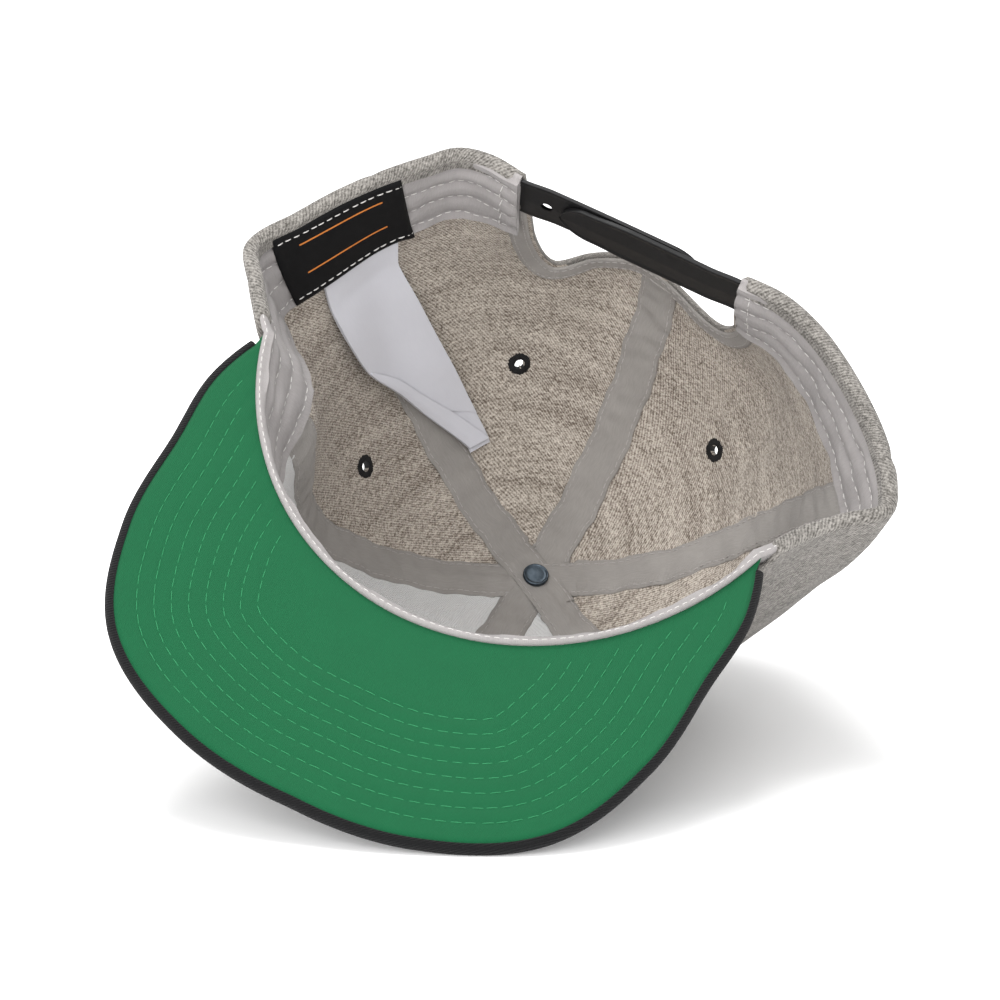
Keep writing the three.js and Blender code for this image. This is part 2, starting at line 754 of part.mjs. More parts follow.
// Eyelets: a worked ring flush with the outside, one proud of the inside, and a barrel between
function buildEyelet(name, from, to, backing) {
  const { point, direction } = eyeletSpot(from, to);
  const seat = GAP - EYELET_RECESS;
  const under = -backing - EYELET_GAP;
  const rounded = (EYELET_RADIUS + EYELET_BARREL) / 2;
  const profile = [
    [EYELET_HOLE, under - EYELET_RING],
    [rounded, under - EYELET_RING],
    [EYELET_RADIUS, under],
    [EYELET_BARREL, under],
    [EYELET_BARREL, seat],
    [EYELET_RADIUS, seat],
    [EYELET_RADIUS, 0],
    [EYELET_HOLE, 0],
    [EYELET_HOLE, under - EYELET_RING],
  ];
  place(name, turned(profile, point, direction, EYELET_SIDES), MATERIALS.black);
}

PANELS.forEach((name, i) => {
  const backing = name.startsWith('front') ? LINING_DEPTH + BUCKRAM : CLOTH;
  buildEyelet(`eyelet_${name}`, SEAMS[i], SEAMS[i + 1], backing);
});

// Side edges of the back opening as lines up the wall
const archRight = curveOf(ARCH.slice(0, 5), 'along', 'angle');
const archLeft = curveOf(ARCH.slice(-5).reverse(), 'along', 'angle');

function beside(edge, side) {
  return (along) => edge(along) + side * arcAngle(edge(along), along, LAYER_GAP);
}

// Lines up the wall under the sweatband, from the left edge of the opening round to the right
function linesOf(from, to) {
  return columnShares(from, to).slice(0, -1).map((share) => lineBetween(from, to, share));
}

const wallLines = SEAMS.slice(0, -1).flatMap((seam, i) => linesOf(seam, SEAMS[i + 1]));
const bandStart = beside(archLeft, 1);
const bandEnd = (along) => beside(archRight, -1)(along) + 360;
const bandLines = [
  bandStart,
  ...wallLines.filter((line) => line(0) > bandStart(0) + SEAM_ROOM && line(0) < bandEnd(0) - SEAM_ROOM),
  bandEnd,
];
const BAND_ROWS = [0, 1 / 3, 2 / 3, 1];

function bandGrid(lines, parts) {
  return lines.map((line) => {
    const top = bandTopOn(line);
    return parts.map((part) => [line(part * top), part * top]);
  });
}
place('sweatband', layer(bandGrid(bandLines, BAND_ROWS), LAYER_DEPTH, BAND), MATERIALS.band);

// Label on the inner face of the sweatband
const underLabel = wallLines.filter((line) => line(0) > LABEL_FROM + 1 && line(0) < LABEL_TO - 1);
const labelLines = [() => LABEL_FROM, ...underLabel, () => LABEL_TO];
const labelGrid = bandGrid(labelLines, [LABEL_LOW, 1 / 3, 2 / 3, LABEL_HIGH]);
place('label', layer(labelGrid, BAND_DEPTH + LAYER_GAP, LABEL), MATERIALS.black);

// Binding along the top edge of the opening, from the top of the sweatband round to it again
const archEdgePoints = [];
for (let angle = ARCH[0].angle; angle <= ARCH[ARCH.length - 1].angle; angle += 1) {
  archEdgePoints.push(crownInside(angle, Math.max(archShare(angle), 0)));
}

function fromArch(point) {
  return Math.min(...archEdgePoints.map((edge) => edge.distanceTo(point)));
}

// Share up a line where the binding ends
function bindingTop(line, start) {
  let low = start;
  let high = start + 0.3;
  for (let step = 0; step < 20; step += 1) {
    const middle = (low + high) / 2;
    if (fromArch(crownInside(line(middle), middle)) < BINDING_WIDTH) {
      low = middle;
    } else {
      high = middle;
    }
  }
  return low;
}

const overArch = wallLines.filter((line) => line(0) < bandStart(0) || line(0) > bandEnd(0) - 2 * SEAM_ROOM)
  .map((line) => (line(0) < 360 ? (along) => line(along) + 360 : line))
  .sort((a, b) => a(WALL_SHARE) - b(WALL_SHARE));
const bindingGrid = overArch.map((line) => {
  const level = lineStart(line);
  const start = Math.max(level, aboveBand(line(level)));
  const top = bindingTop(line, start);
  return [0, 0.5, 1].map((part) => lerp(start, top, part)).map((along) => [line(along), along]);
}).filter((column) => column[2][1] - column[0][1] > ROW_ROOM / 2);
place('arch_binding', layer(bindingGrid, LINING_DEPTH, TAPE), MATERIALS.tape);

// Care tag from the top of the sweatband down the wall
const tagDepth = LAYER_DEPTH + TAPE + GAP;
const tagLeft = curveOf(TAG_RUN, 'along', 'left');
const tagRight = curveOf(TAG_RUN, 'along', 'right');
const tagLift = curveOf(TAG_RUN, 'along', 'lift');
const TAG_ROWS = [0, 0.16, 0.33, 0.5, 0.66, 0.83, 1];
const TAG_COLUMNS = [0, 0.33, 0.66, 1];

function tagFace(depth) {
  const end = TAG_RUN[TAG_RUN.length - 1].along;
  return TAG_ROWS.map((share) => TAG_COLUMNS.map((part) => {
    const level = lerp(TAG_RUN[0].along, end, share);
    const angle = lerp(tagLeft(level), tagRight(level), part);
    const along = share === 0 ? aboveBand(angle) : level;
    return crown(angle, along, depth + tagLift(level) * BAND_WIDTH);
  }));
}
place('care_tag', slab(tagFace(tagDepth), tagFace(tagDepth + TAG)), MATERIALS.satin);

// Peak: the covered board with its rolled edge, and the underside set inside that edge.
// A point of it: part runs from one corner to the other, out from the crown to the edge
function peakPoint(part, out, inset, rise) {
  const angle = part * PEAK_CORNER;
  const reach = openingReach(angle);
  const a = radians(angle);
  const x = reach * Math.sin(a);
  const joint = new THREE.Vector3(x, reach * Math.cos(a), bowAt(x) + rise);
  const edge = peakEdge(part * PEAK_END, inset, rise);
  const point = joint.lerp(edge, out);
  point.z = bowAt(point.x) + rise;
  return point;
}

function peakGrid(inset, riseAt) {
  return peakParts.map((part) => {
    const row = [];
    for (let step = 0; step <= PEAK_ROWS; step += 1) {
      const out = step / PEAK_ROWS;
      row.push(peakPoint(part, out, inset, riseAt(out)));
    }
    return row;
  });
}

const cover = slab(
  peakGrid(0, () => PEAK_LINING),
  peakGrid(0, (out) => (out === 1 ? PEAK_COVER : PEAK_COVER + PEAK_LINING)),
);
place('peak_cover', cover, MATERIALS.black);
place('peak_underside', slab(peakGrid(PEAK_EDGE, () => 0), peakGrid(PEAK_EDGE, () => PEAK_LINING - GAP)),
  MATERIALS.green);

// Point of a side edge of the opening at a height above its foot
function archEdge(edge, height) {
  let low = 0;
  let high = WALL_SHARE;
  const foot = crown(edge(0), 0, CLOTH).z;
  for (let step = 0; step < 24; step += 1) {
    const middle = (low + high) / 2;
    if (crown(edge(middle), middle, CLOTH).z < foot + height) {
      low = middle;
    } else {
      high = middle;
    }
  }
  return crown(edge(low), low, CLOTH);
}

// Strap halves: ruled between the two side edges of the back opening
function strapPoint(share, across, offset) {
  const height = STRAP_WIDTH * (0.5 + across / 2);
  const right = archEdge(archRight, height);
  const left = archEdge(archLeft, height);
  const point = left.lerp(right, share);
  point.y -= STRAP_BOW * 4 * share * (1 - share) + offset;
  return point;
}

const strapSpan = strapPoint(0, 0, 0).distanceTo(strapPoint(1, 0, 0));
const STRAIGHT_STATIONS = [0, 0.17, 0.36, 0.57, 0.79, 1];
const TIP_ANGLES = [20, 40, 60, 75, 86];
const ACROSS_STRAP = [-1, -0.33, 0.33, 1];

// One half from its own side to a round tip: side is 1 for the wearer's right
function strapHalf(side, layerOffset) {
  const round = STRAP_WIDTH / 2;
  const tip = strapSpan - STRAP_STOP - round;
  const stations = STRAIGHT_STATIONS.map((share) => lerp(STRAP_START, tip, share))
    .concat(TIP_ANGLES.map((angle) => tip + round * Math.sin(radians(angle))));
  const face = (out) => stations.map((run) => {
    const past = Math.max(run - tip, 0) / round;
    const tall = Math.sqrt(1 - past * past);
    const share = side > 0 ? 1 - run / strapSpan : run / strapSpan;
    const settle = smooth((run - STRAP_START) / STRAP_STOP);
    const offset = layerOffset * settle + out;
    return ACROSS_STRAP.map((part) => strapPoint(share, part * tall, offset));
  });
  return slab(face(-STRAP / 2), face(STRAP / 2));
}

// Pegs stand in steps to both sides of the middle, with one hole more than there are pegs
const backward = new THREE.Vector3(0, -1, 0);
const strapOffset = (STRAP + GAP) / 2;

function pegRods(first, radius, from, to) {
  const rods = [];
  for (let peg = first; peg < PEG_COUNT; peg += 1) {
    const aside = (peg - (PEG_COUNT - 1) / 2) * PEG_PITCH;
    const point = strapPoint(0.5 + aside / strapSpan, 0, 0);
    rods.push(rod(point, backward, radius, from, to, PEG_SIDES));
  }
  return rods;
}

const holes = pegRods(-1, PEG_RADIUS + GAP, -3 * STRAP, 3 * STRAP);
place('strap_left', cut(strapHalf(-1, strapOffset), holes), MATERIALS.plastic);
const pegs = pegRods(0, PEG_RADIUS, -strapOffset, strapOffset + STRAP);
place('strap_right', join(strapHalf(1, -strapOffset), pegs), MATERIALS.plastic);

// Lay the cap over so that the pressed front of its crown and the edge of its peak meet the floor
cap.position.copy(restPoint).negate();
const pitched = new THREE.Group();
pitched.rotation.x = pitch;
pitched.add(cap);
const leaned = new THREE.Group();
leaned.rotation.y = -radians(LEAN);
leaned.add(pitched);
const laid = new THREE.Group();
laid.rotation.x = Math.PI;
laid.add(leaned);

export default laid;
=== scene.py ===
"""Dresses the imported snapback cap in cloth, thread, plastic and metal, lying upside down on a pale floor.

Shapes are worked out in the cap's own frame as worn, in millimetres: +X to the wearer's right, +Y to
the front and +Z up, with zero at the middle of the head opening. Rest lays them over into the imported
frame, in metres. A place on the crown is an angle round the head in degrees, 0 at the front and 90 at
the wearer's right, and a share of the way up the wall from the rim to the apex.
"""
import sys

import logging
from dataclasses import dataclass
from enum import Enum, IntEnum
from typing import Callable, NamedTuple, Sequence

import bpy
import numpy as np
from bpy.types import Material, NodeSocket, Object
from mathutils import Matrix, Vector


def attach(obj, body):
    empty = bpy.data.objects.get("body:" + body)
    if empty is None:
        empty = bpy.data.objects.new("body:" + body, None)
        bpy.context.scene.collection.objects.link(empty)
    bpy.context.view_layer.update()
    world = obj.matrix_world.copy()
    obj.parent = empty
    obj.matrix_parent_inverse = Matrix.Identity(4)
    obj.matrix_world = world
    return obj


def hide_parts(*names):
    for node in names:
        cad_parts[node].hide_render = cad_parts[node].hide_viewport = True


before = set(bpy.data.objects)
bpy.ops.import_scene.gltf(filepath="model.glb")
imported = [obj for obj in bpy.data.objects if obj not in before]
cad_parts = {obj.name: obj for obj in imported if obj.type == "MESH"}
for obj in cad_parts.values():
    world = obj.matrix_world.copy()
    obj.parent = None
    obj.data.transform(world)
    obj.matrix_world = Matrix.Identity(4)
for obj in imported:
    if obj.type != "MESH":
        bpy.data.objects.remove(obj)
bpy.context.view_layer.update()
LOG = logging.getLogger("cap")

Array = np.ndarray
MILLIMETRE = 0.001


class Side(IntEnum):
    """Left or right, as the cap is worn, with the sign of its direction."""

    LEFT = -1
    RIGHT = 1


class Ring(NamedTuple):
    """One ring of the crown: shares of its height, half width, front reach and back reach."""

    along: float
    height: float
    side: float
    front: float
    back: float


class RimPoint(NamedTuple):
    """Edge of the head opening: reach as a share of its half width, lift of the crown's height."""

    angle: float
    reach: float
    lift: float


class Fold(NamedTuple):
    """Dent or bulge of the wall: push is outward when positive, the rest say where it runs."""

    angle: float
    spread: float
    push: float
    start: float
    peak: float
    stop: float


class Seam(NamedTuple):
    """Seam between two panels: its foot slips aside by slip, which has died out at until."""

    angle: float
    slip: float
    until: float


class TagRow(NamedTuple):
    """Row of the care tag: the angles of its two edges and how far it stands off the wall."""

    along: float
    left: float
    right: float
    lift: float


RINGS = (
    Ring(0.0, 0.0, 1.0, 1.0, 1.0),
    Ring(0.17, 0.242, 0.949, 0.969, 1.077),
    Ring(0.32, 0.444, 0.881, 0.927, 1.096),
    Ring(0.46, 0.629, 0.79, 0.833, 1.026),
    Ring(0.6, 0.79, 0.653, 0.688, 0.897),
    Ring(0.72, 0.903, 0.477, 0.5, 0.692),
    Ring(0.83, 0.968, 0.295, 0.313, 0.462),
    Ring(0.92, 0.994, 0.14, 0.148, 0.219),
    Ring(1.0, 1.0, 0.0, 0.0, 0.0),
)
RIM = (
    RimPoint(69, 1.02, -0.032), RimPoint(80, 1.065, -0.02), RimPoint(87, 1.15, -0.014),
    RimPoint(92, 1.25, -0.014), RimPoint(97, 1.235, -0.016), RimPoint(105, 1.165, -0.026),
    RimPoint(113, 1.085, -0.042), RimPoint(121, 1.015, -0.056), RimPoint(129, 0.95, -0.07),
    RimPoint(138, 0.875, -0.079), RimPoint(148, 0.78, -0.08), RimPoint(163, 0.69, -0.08),
    RimPoint(180, 0.68, -0.08), RimPoint(197, 0.71, -0.082), RimPoint(214, 0.82, -0.085),
    RimPoint(221, 0.92, -0.087), RimPoint(227, 0.985, -0.08), RimPoint(234, 1.0, -0.067),
    RimPoint(242, 1.03, -0.05), RimPoint(251, 1.07, -0.032), RimPoint(261, 1.12, -0.018),
    RimPoint(271, 1.19, -0.013), RimPoint(278, 1.12, -0.018), RimPoint(285, 1.06, -0.026),
    RimPoint(291, 1.02, -0.032),
)
FOLDS = (
    Fold(292, 30, -0.17, 0.0, 0.21, 0.58),
    Fold(186, 20, 0.08, 0.04, 0.3, 0.6),
    Fold(246, 11, 0.025, 0.05, 0.35, 0.72),
    Fold(132, 14, -0.03, 0.1, 0.4, 0.7),
    Fold(84, 17, 0.05, 0.03, 0.22, 0.5),
)
ARCH = (
    (148.0, 0.0), (151.0, 0.09), (154.5, 0.18), (158.5, 0.27), (163.0, 0.325), (169.0, 0.325),
    (175.0, 0.315), (185.0, 0.305), (195.0, 0.315), (202.0, 0.34), (205.0, 0.31), (207.5, 0.24),
    (210.5, 0.11), (214.0, 0.0),
)
SEAMS = (
    Seam(180, 0, 1), Seam(240, 5, 0.8), Seam(300, 0, 1), Seam(360, 0, 1), Seam(420, 0, 1),
    Seam(481, -19, 0.66), Seam(540, 0, 1),
)
BACK_CENTRE, BACK_LEFT, FRONT_LEFT, FRONT_CENTRE, FRONT_RIGHT, BACK_RIGHT = SEAMS[:6]
PANELS = ("back_left", "side_left", "front_left", "front_right", "side_right", "back_right")
PEAK = ((0, 1.0), (18, 1.012), (36, 0.997), (54, 0.882), (72, 0.775), (90, 0.748), (101, 0.729))
TAG_ROWS = (
    TagRow(0.235, 258, 239, 0.0), TagRow(0.33, 257.5, 236, 0.06), TagRow(0.42, 255.5, 233.5, 0.1),
    TagRow(0.52, 249, 230.5, 0.12), TagRow(0.62, 241.5, 227.5, 0.09), TagRow(0.7, 233.5, 224, 0.05),
)


class Curve:
    """Smooth curve through the rows of a table."""

    def __init__(self, places: Sequence[float], values: Sequence[float]) -> None:
        """Keeps the rows and works out a slope at each.

        Args:
            places: where the rows stand, in rising order.
            values: the curve's value at each row.
        """
        self.places = np.asarray(places, float)
        self.values = np.asarray(values, float)
        before = np.maximum(np.arange(len(self.places)) - 1, 0)
        after = np.minimum(np.arange(len(self.places)) + 1, len(self.places) - 1)
        rise = self.values[after] - self.values[before]
        self.slopes = rise / (self.places[after] - self.places[before])

    def __call__(self, place: Array | float) -> Array:
        """The curve's value at each place.

        Args:
            place: places to look up.

        Returns:
            The values.
        """
        place = np.asarray(place, float)
        row = np.searchsorted(self.places, place, side="right") - 1
        row = np.clip(row, 0, len(self.places) - 2)
        span = self.places[row + 1] - self.places[row]
        part = (place - self.places[row]) / span
        low = self.values[row] * (1 + 2 * part) * (1 - part) ** 2
        high = self.values[row + 1] * (3 - 2 * part) * part ** 2
        leave = self.slopes[row] * span * part * (1 - part) ** 2
        arrive = self.slopes[row + 1] * span * part ** 2 * (1 - part)
        return low + high + leave - arrive


def column_curve(rows: Sequence[tuple], place: int, value: int) -> Curve:
    """Curve through two columns of a table, by their positions in a row."""
    return Curve([row[place] for row in rows], [row[value] for row in rows])


RING_HEIGHT, RING_SIDE, RING_FRONT, RING_BACK = (column_curve(RINGS, 0, k) for k in (1, 2, 3, 4))
RIM_REACH, RIM_LIFT = column_curve(RIM, 0, 1), column_curve(RIM, 0, 2)
ARCH_SHARE = column_curve(ARCH, 0, 1)
ARCH_RIGHT = column_curve(ARCH[:5], 1, 0)
ARCH_LEFT = column_curve(ARCH[:-6:-1], 1, 0)
PEAK_SHARE = column_curve(PEAK, 0, 1)
TAG_LEFT, TAG_RIGHT, TAG_LIFT = (column_curve(TAG_ROWS, 0, k) for k in (1, 2, 3))


def smooth(value: Array | float) -> Array:
    """Runs from 0 to 1 with level ends."""
    part = np.clip(value, 0, 1)
    return part * part * (3 - 2 * part)


def mix(low: Array | float, high: Array | float, part: Array | float) -> Array:
    """Point or number part of the way from low to high."""
    return low + (high - low) * part


def unit(vectors: Array) -> Array:
    """The vectors at length 1."""
    return vectors / np.maximum(np.linalg.norm(vectors, axis=-1, keepdims=True), 1e-12)


def circle(sides: int) -> Array:
    """Angles of points evenly round a circle."""
    return np.linspace(0, 2 * np.pi, sides, endpoint=False)


def pairs(u: Array, v: Array) -> Array:
    """Cloth places made of places across and along the weave."""
    return np.stack(np.broadcast_arrays(u, v), -1)


def bell(value: Array, spread: float) -> Array:
    """Runs from 1 at zero down to 0 on both sides."""
    return np.exp(-(value / spread) ** 2)


def ripple(u: Array, v: Array, wave: float, seed: int) -> Array:
    """Soft random undulation between about -1 and 1, the same on each run.

    Args:
        u, v: places on the cloth in millimetres.
        wave: rough length of a wave in millimetres.
        seed: picks the pattern.

    Returns:
        The height of the undulation at each place.
    """
    draw = np.random.default_rng(seed)
    total = np.zeros(np.broadcast(u, v).shape)
    for _ in range(7):
        heading = draw.uniform(0, 2 * np.pi)
        pitch = wave * draw.uniform(0.7, 1.6)
        shift = draw.uniform(0, 2 * np.pi)
        total = total + np.sin((u * np.cos(heading) + v * np.sin(heading)) * 2 * np.pi / pitch + shift)
    return total / 3.2


@dataclass(frozen=True)
class Cap:
    """Driving sizes of the cap, its wall as a surface, and how it lies on the floor."""

    head_front: float = 95.9
    head_side: float = 82.7
    crown_side: float = 88.0
    crown_front: float = 96.0
    crown_back: float = 78.0
    height: float = 124.0
    apex_back: float = 18.0
    cloth: float = 1.6
    band_width: float = 30.0
    peak_length: float = 67.5
    peak_spread: float = 46.0
    peak_thick: float = 4.0
    peak_bow: float = 4.5
    peak_corner: float = 69.0
    oval_power: float = 2.15
    rim_fade: float = 0.42
    lean: float = 20.0
    press: float = 4.0

    def bow(self, x: Array) -> Array:
        """Height of the peak's plane, which bows down to the sides."""
        return -self.peak_bow * (x / self.head_side) ** 2

    def opening_reach(self, angle: Array) -> Array:
        """Reach of the head opening along the peak."""
        a = np.radians(angle)
        return 1 / np.hypot(np.sin(a) / self.head_side, np.cos(a) / self.head_front)

    def rim(self, angle: Array) -> tuple[Array, Array]:
        """Reach and height of the head opening's edge.

        Args:
            angle: degrees round the head.

        Returns:
            Reaches and heights.
        """
        turned = np.mod(angle, 360)
        ahead = np.minimum(turned, 360 - turned) < self.peak_corner
        reach = self.opening_reach(angle)
        height = self.bow(reach * np.sin(np.radians(angle)))
        behind = np.clip(turned, self.peak_corner, 360 - self.peak_corner)
        return (np.where(ahead, reach, RIM_REACH(behind) * self.head_side),
                np.where(ahead, height, RIM_LIFT(behind) * self.height))

    def oval(self, angle: Array, side: Array, front: Array, back: Array) -> Array:
        """Reach of a squared oval with those half widths.

        Args:
            angle: degrees round the oval.
            side, front, back: half width and both reaches.

        Returns:
            The reaches.
        """
        a = np.radians(angle)
        ahead = np.abs(np.cos(a) / np.where(np.cos(a) > 0, front, back)) ** self.oval_power
        across = np.abs(np.sin(a) / side) ** self.oval_power
        return (across + ahead) ** (-1 / self.oval_power)

    def reach(self, angle: Array, along: Array) -> Array:
        """Distance of the crown's inner face from its axis.

        Args:
            angle, along: place on the crown.

        Returns:
            The distances.
        """
        low = np.clip(along, 0, 0.9999)
        ring = self.oval(angle, RING_SIDE(low) * self.crown_side, RING_FRONT(low) * self.crown_front,
                         RING_BACK(low) * self.crown_back)
        base = self.oval(angle, self.crown_side, self.crown_front, self.crown_back)
        total = ring + (self.rim(angle)[0] - base) * (1 - smooth(low / self.rim_fade))
        for fold in FOLDS:
            aside = np.abs(np.mod(np.mod(angle, 360) - fold.angle + 540, 360) - 180) / fold.spread
            rise = smooth((low - fold.start) / (fold.peak - fold.start))
            fade = 1 - smooth((low - fold.peak) / (fold.stop - fold.peak))
            total = total + fold.push * self.head_side * (1 - smooth(aside)) * np.minimum(rise, fade)
        return total

    def inside(self, angle: Array, along: Array) -> Array:
        """Point of the crown's inner face.

        Args:
            angle, along: place on the crown.

        Returns:
            The points.
        """
        angle, along = np.broadcast_arrays(np.asarray(angle, float), np.asarray(along, float))
        a = np.radians(angle)
        reach = self.reach(angle, along)
        z = mix(self.rim(angle)[1], self.height, RING_HEIGHT(along))
        return np.stack([reach * np.sin(a), reach * np.cos(a) - self.apex_back * smooth(along), z], -1)

    def normal(self, angle: Array, along: Array) -> Array:
        """Outward direction of the wall.

        Args:
            angle, along: place on the crown.

        Returns:
            The directions.
        """
        along = np.minimum(along, 0.985)
        across = self.inside(angle + 2.0, along) - self.inside(angle - 2.0, along)
        rising = self.inside(angle, along + 0.01) - self.inside(angle, np.maximum(along - 0.01, 0))
        return unit(np.cross(rising, across))

    def peak_edge(self, angle: Array, inset: Array | float, rise: Array | float) -> Array:
        """Point of the peak's outer edge, pulled in by inset and raised by rise.

        Args:
            angle: degrees from straight ahead.
            inset, rise: how far in and up.

        Returns:
            The points.
        """
        a = np.radians(angle)
        reach = PEAK_SHARE(np.abs(angle)) * (self.peak_length + self.peak_spread) - inset
        x = reach * np.sin(a)
        return np.stack([x, self.head_front - self.peak_spread + reach * np.cos(a), self.bow(x) + rise], -1)


class Rest:
    """How the cap lies: leaning aside and pitched forward until its front is pressed flat."""

    def __init__(self, cap: Cap) -> None:
        """Finds the pitch at which the crown's front goes below the peak's edge by the press.

        Args:
            cap: the cap to lay down.
        """
        parts = np.linspace(-1, 1, 29)
        edge = cap.peak_edge(parts * PEAK[-1][0], 0, cap.peak_thick - 1)
        angles, shares = np.meshgrid(np.arange(-90, 91, 4.0), np.arange(0.3, 0.977, 0.02), indexing="ij")
        wall = cap.inside(angles, shares) + cap.normal(angles, shares) * cap.cloth
        wall = wall.reshape(-1, 3)
        low, high = np.radians(10), np.radians(75)
        for _ in range(40):
            middle = (low + high) / 2
            down = self.down_at(cap, middle)
            deep = (wall @ down).max() - (edge @ down).max() > cap.press
            low, high = (middle, high) if deep else (low, middle)
        self.down = self.down_at(cap, low)
        self.floor = float((edge @ self.down).max())
        lowest = wall[(wall @ self.down).argmax()]
        self.origin = lowest + self.down * (self.floor - lowest @ self.down)
        lean, over = np.radians(-cap.lean), np.pi
        pitched = np.array([[1, 0, 0], [0, np.cos(low), -np.sin(low)], [0, np.sin(low), np.cos(low)]])
        leaned = np.array([[np.cos(lean), 0, np.sin(lean)], [0, 1, 0], [-np.sin(lean), 0, np.cos(lean)]])
        laid = np.array([[1, 0, 0], [0, np.cos(over), -np.sin(over)], [0, np.sin(over), np.cos(over)]])
        self.turn = laid @ leaned @ pitched

    @staticmethod
    def down_at(cap: Cap, pitch: float) -> Array:
        """Direction to the floor in the cap's frame."""
        lean = np.radians(cap.lean)
        return np.array([np.sin(lean), np.cos(lean) * np.sin(pitch), np.cos(lean) * np.cos(pitch)])

    def place(self, points: Array) -> Array:
        """Points of the cap's frame, in millimetres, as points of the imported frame, in metres."""
        return (np.asarray(points, float) - self.origin) @ self.turn.T * MILLIMETRE


CAP = Cap()
REST = Rest(CAP)


def wall(angle: Array, along: Array, depth: Array | float) -> Array:
    """Point of the crown at a depth below its outer face, flat where the floor presses it.

    Args:
        angle, along: place on the crown.
        depth: millimetres below the outer face.

    Returns:
        The points.
    """
    angle, along, depth = np.broadcast_arrays(*(np.asarray(x, float) for x in (angle, along, depth)))
    point = CAP.inside(angle, along) + CAP.normal(angle, along) * (CAP.cloth - depth)[..., None]
    over = point @ REST.down - (REST.floor - depth)
    return point - REST.down * np.maximum(over, 0)[..., None]


def climb(angle: Array, start: Array | float, distance: Array | float) -> Array:
    """Share of the way up where the wall has climbed a distance from a starting share.

    Args:
        angle: degrees round the head.
        start: share to climb from.
        distance: millimetres to climb.

    Returns:
        The shares reached.
    """
    angle, start, distance = np.broadcast_arrays(*(np.asarray(x, float) for x in (angle, start, distance)))
    grid = np.linspace(0, 1, 161)
    flat = np.unique(angle)
    lines = CAP.inside(flat[:, None], grid[None, :])
    steps = np.linalg.norm(np.diff(lines, axis=1), axis=-1)
    lengths = np.concatenate([np.zeros((len(flat), 1)), np.cumsum(steps, axis=1)], axis=1)
    found = np.empty(angle.shape)
    rows = np.searchsorted(flat, angle)
    for row in range(len(flat)):
        here = rows == row
        base = np.interp(start[here], grid, lengths[row])
        found[here] = np.interp(base + distance[here], lengths[row], grid)
    return found


def share_at(angle: Array, radius: Array | float) -> Array:
    """Share where a ring of a given radius runs round the apex.

    Args:
        angle: degrees round the head.
        radius: the ring's radius.

    Returns:
        The shares.
    """
    angle, radius = np.broadcast_arrays(np.asarray(angle, float), np.asarray(radius, float))
    low, high = np.full(angle.shape, 0.5), np.ones(angle.shape)
    for _ in range(26):
        middle = (low + high) / 2
        wide = CAP.reach(angle, middle) > radius
        low, high = np.where(wide, middle, low), np.where(wide, high, middle)
    return low


def seam_angle(seam: Seam, along: Array) -> Array:
    """Angle of a seam at a share of the way up."""
    return seam.angle + seam.slip * (1 - smooth(along / seam.until))


def cloth_start(angle: Array) -> Array:
    """Share where the cloth of the crown starts: at the rim, on the peak or over the back opening.

    Args:
        angle: degrees round the head.

    Returns:
        The shares.
    """
    turned = np.mod(angle, 360)
    behind = (turned > ARCH[0][0]) & (turned < ARCH[-1][0])
    arch = np.maximum(ARCH_SHARE(np.clip(turned, ARCH[0][0], ARCH[-1][0])), 0)
    aside = np.minimum(turned, 360 - turned)
    on_peak = 1 - smooth((aside - CAP.peak_corner - 1) / 3)
    raised = climb(angle, 0, on_peak * (CAP.peak_thick + 0.3))
    return np.where(behind, arch, np.where(on_peak > 0, raised, 0))


def arc_angle(angle: Array, along: Array, distance: Array | float) -> Array:
    """Angle that an arc of the wall takes up."""
    return np.degrees(np.arcsin(np.clip(distance / CAP.reach(angle, along), -1, 1)))


class Slot(Enum):
    """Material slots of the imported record."""

    TWILL = "twill"
    BUCKRAM = "buckram"
    TAPE = "tape"
    BAND = "band"
    THREAD = "thread"
    LABEL = "label"
    SATIN = "satin"
    WOOL = "wool"
    GREEN = "green"
    PLASTIC = "plastic"
    METAL = "metal"


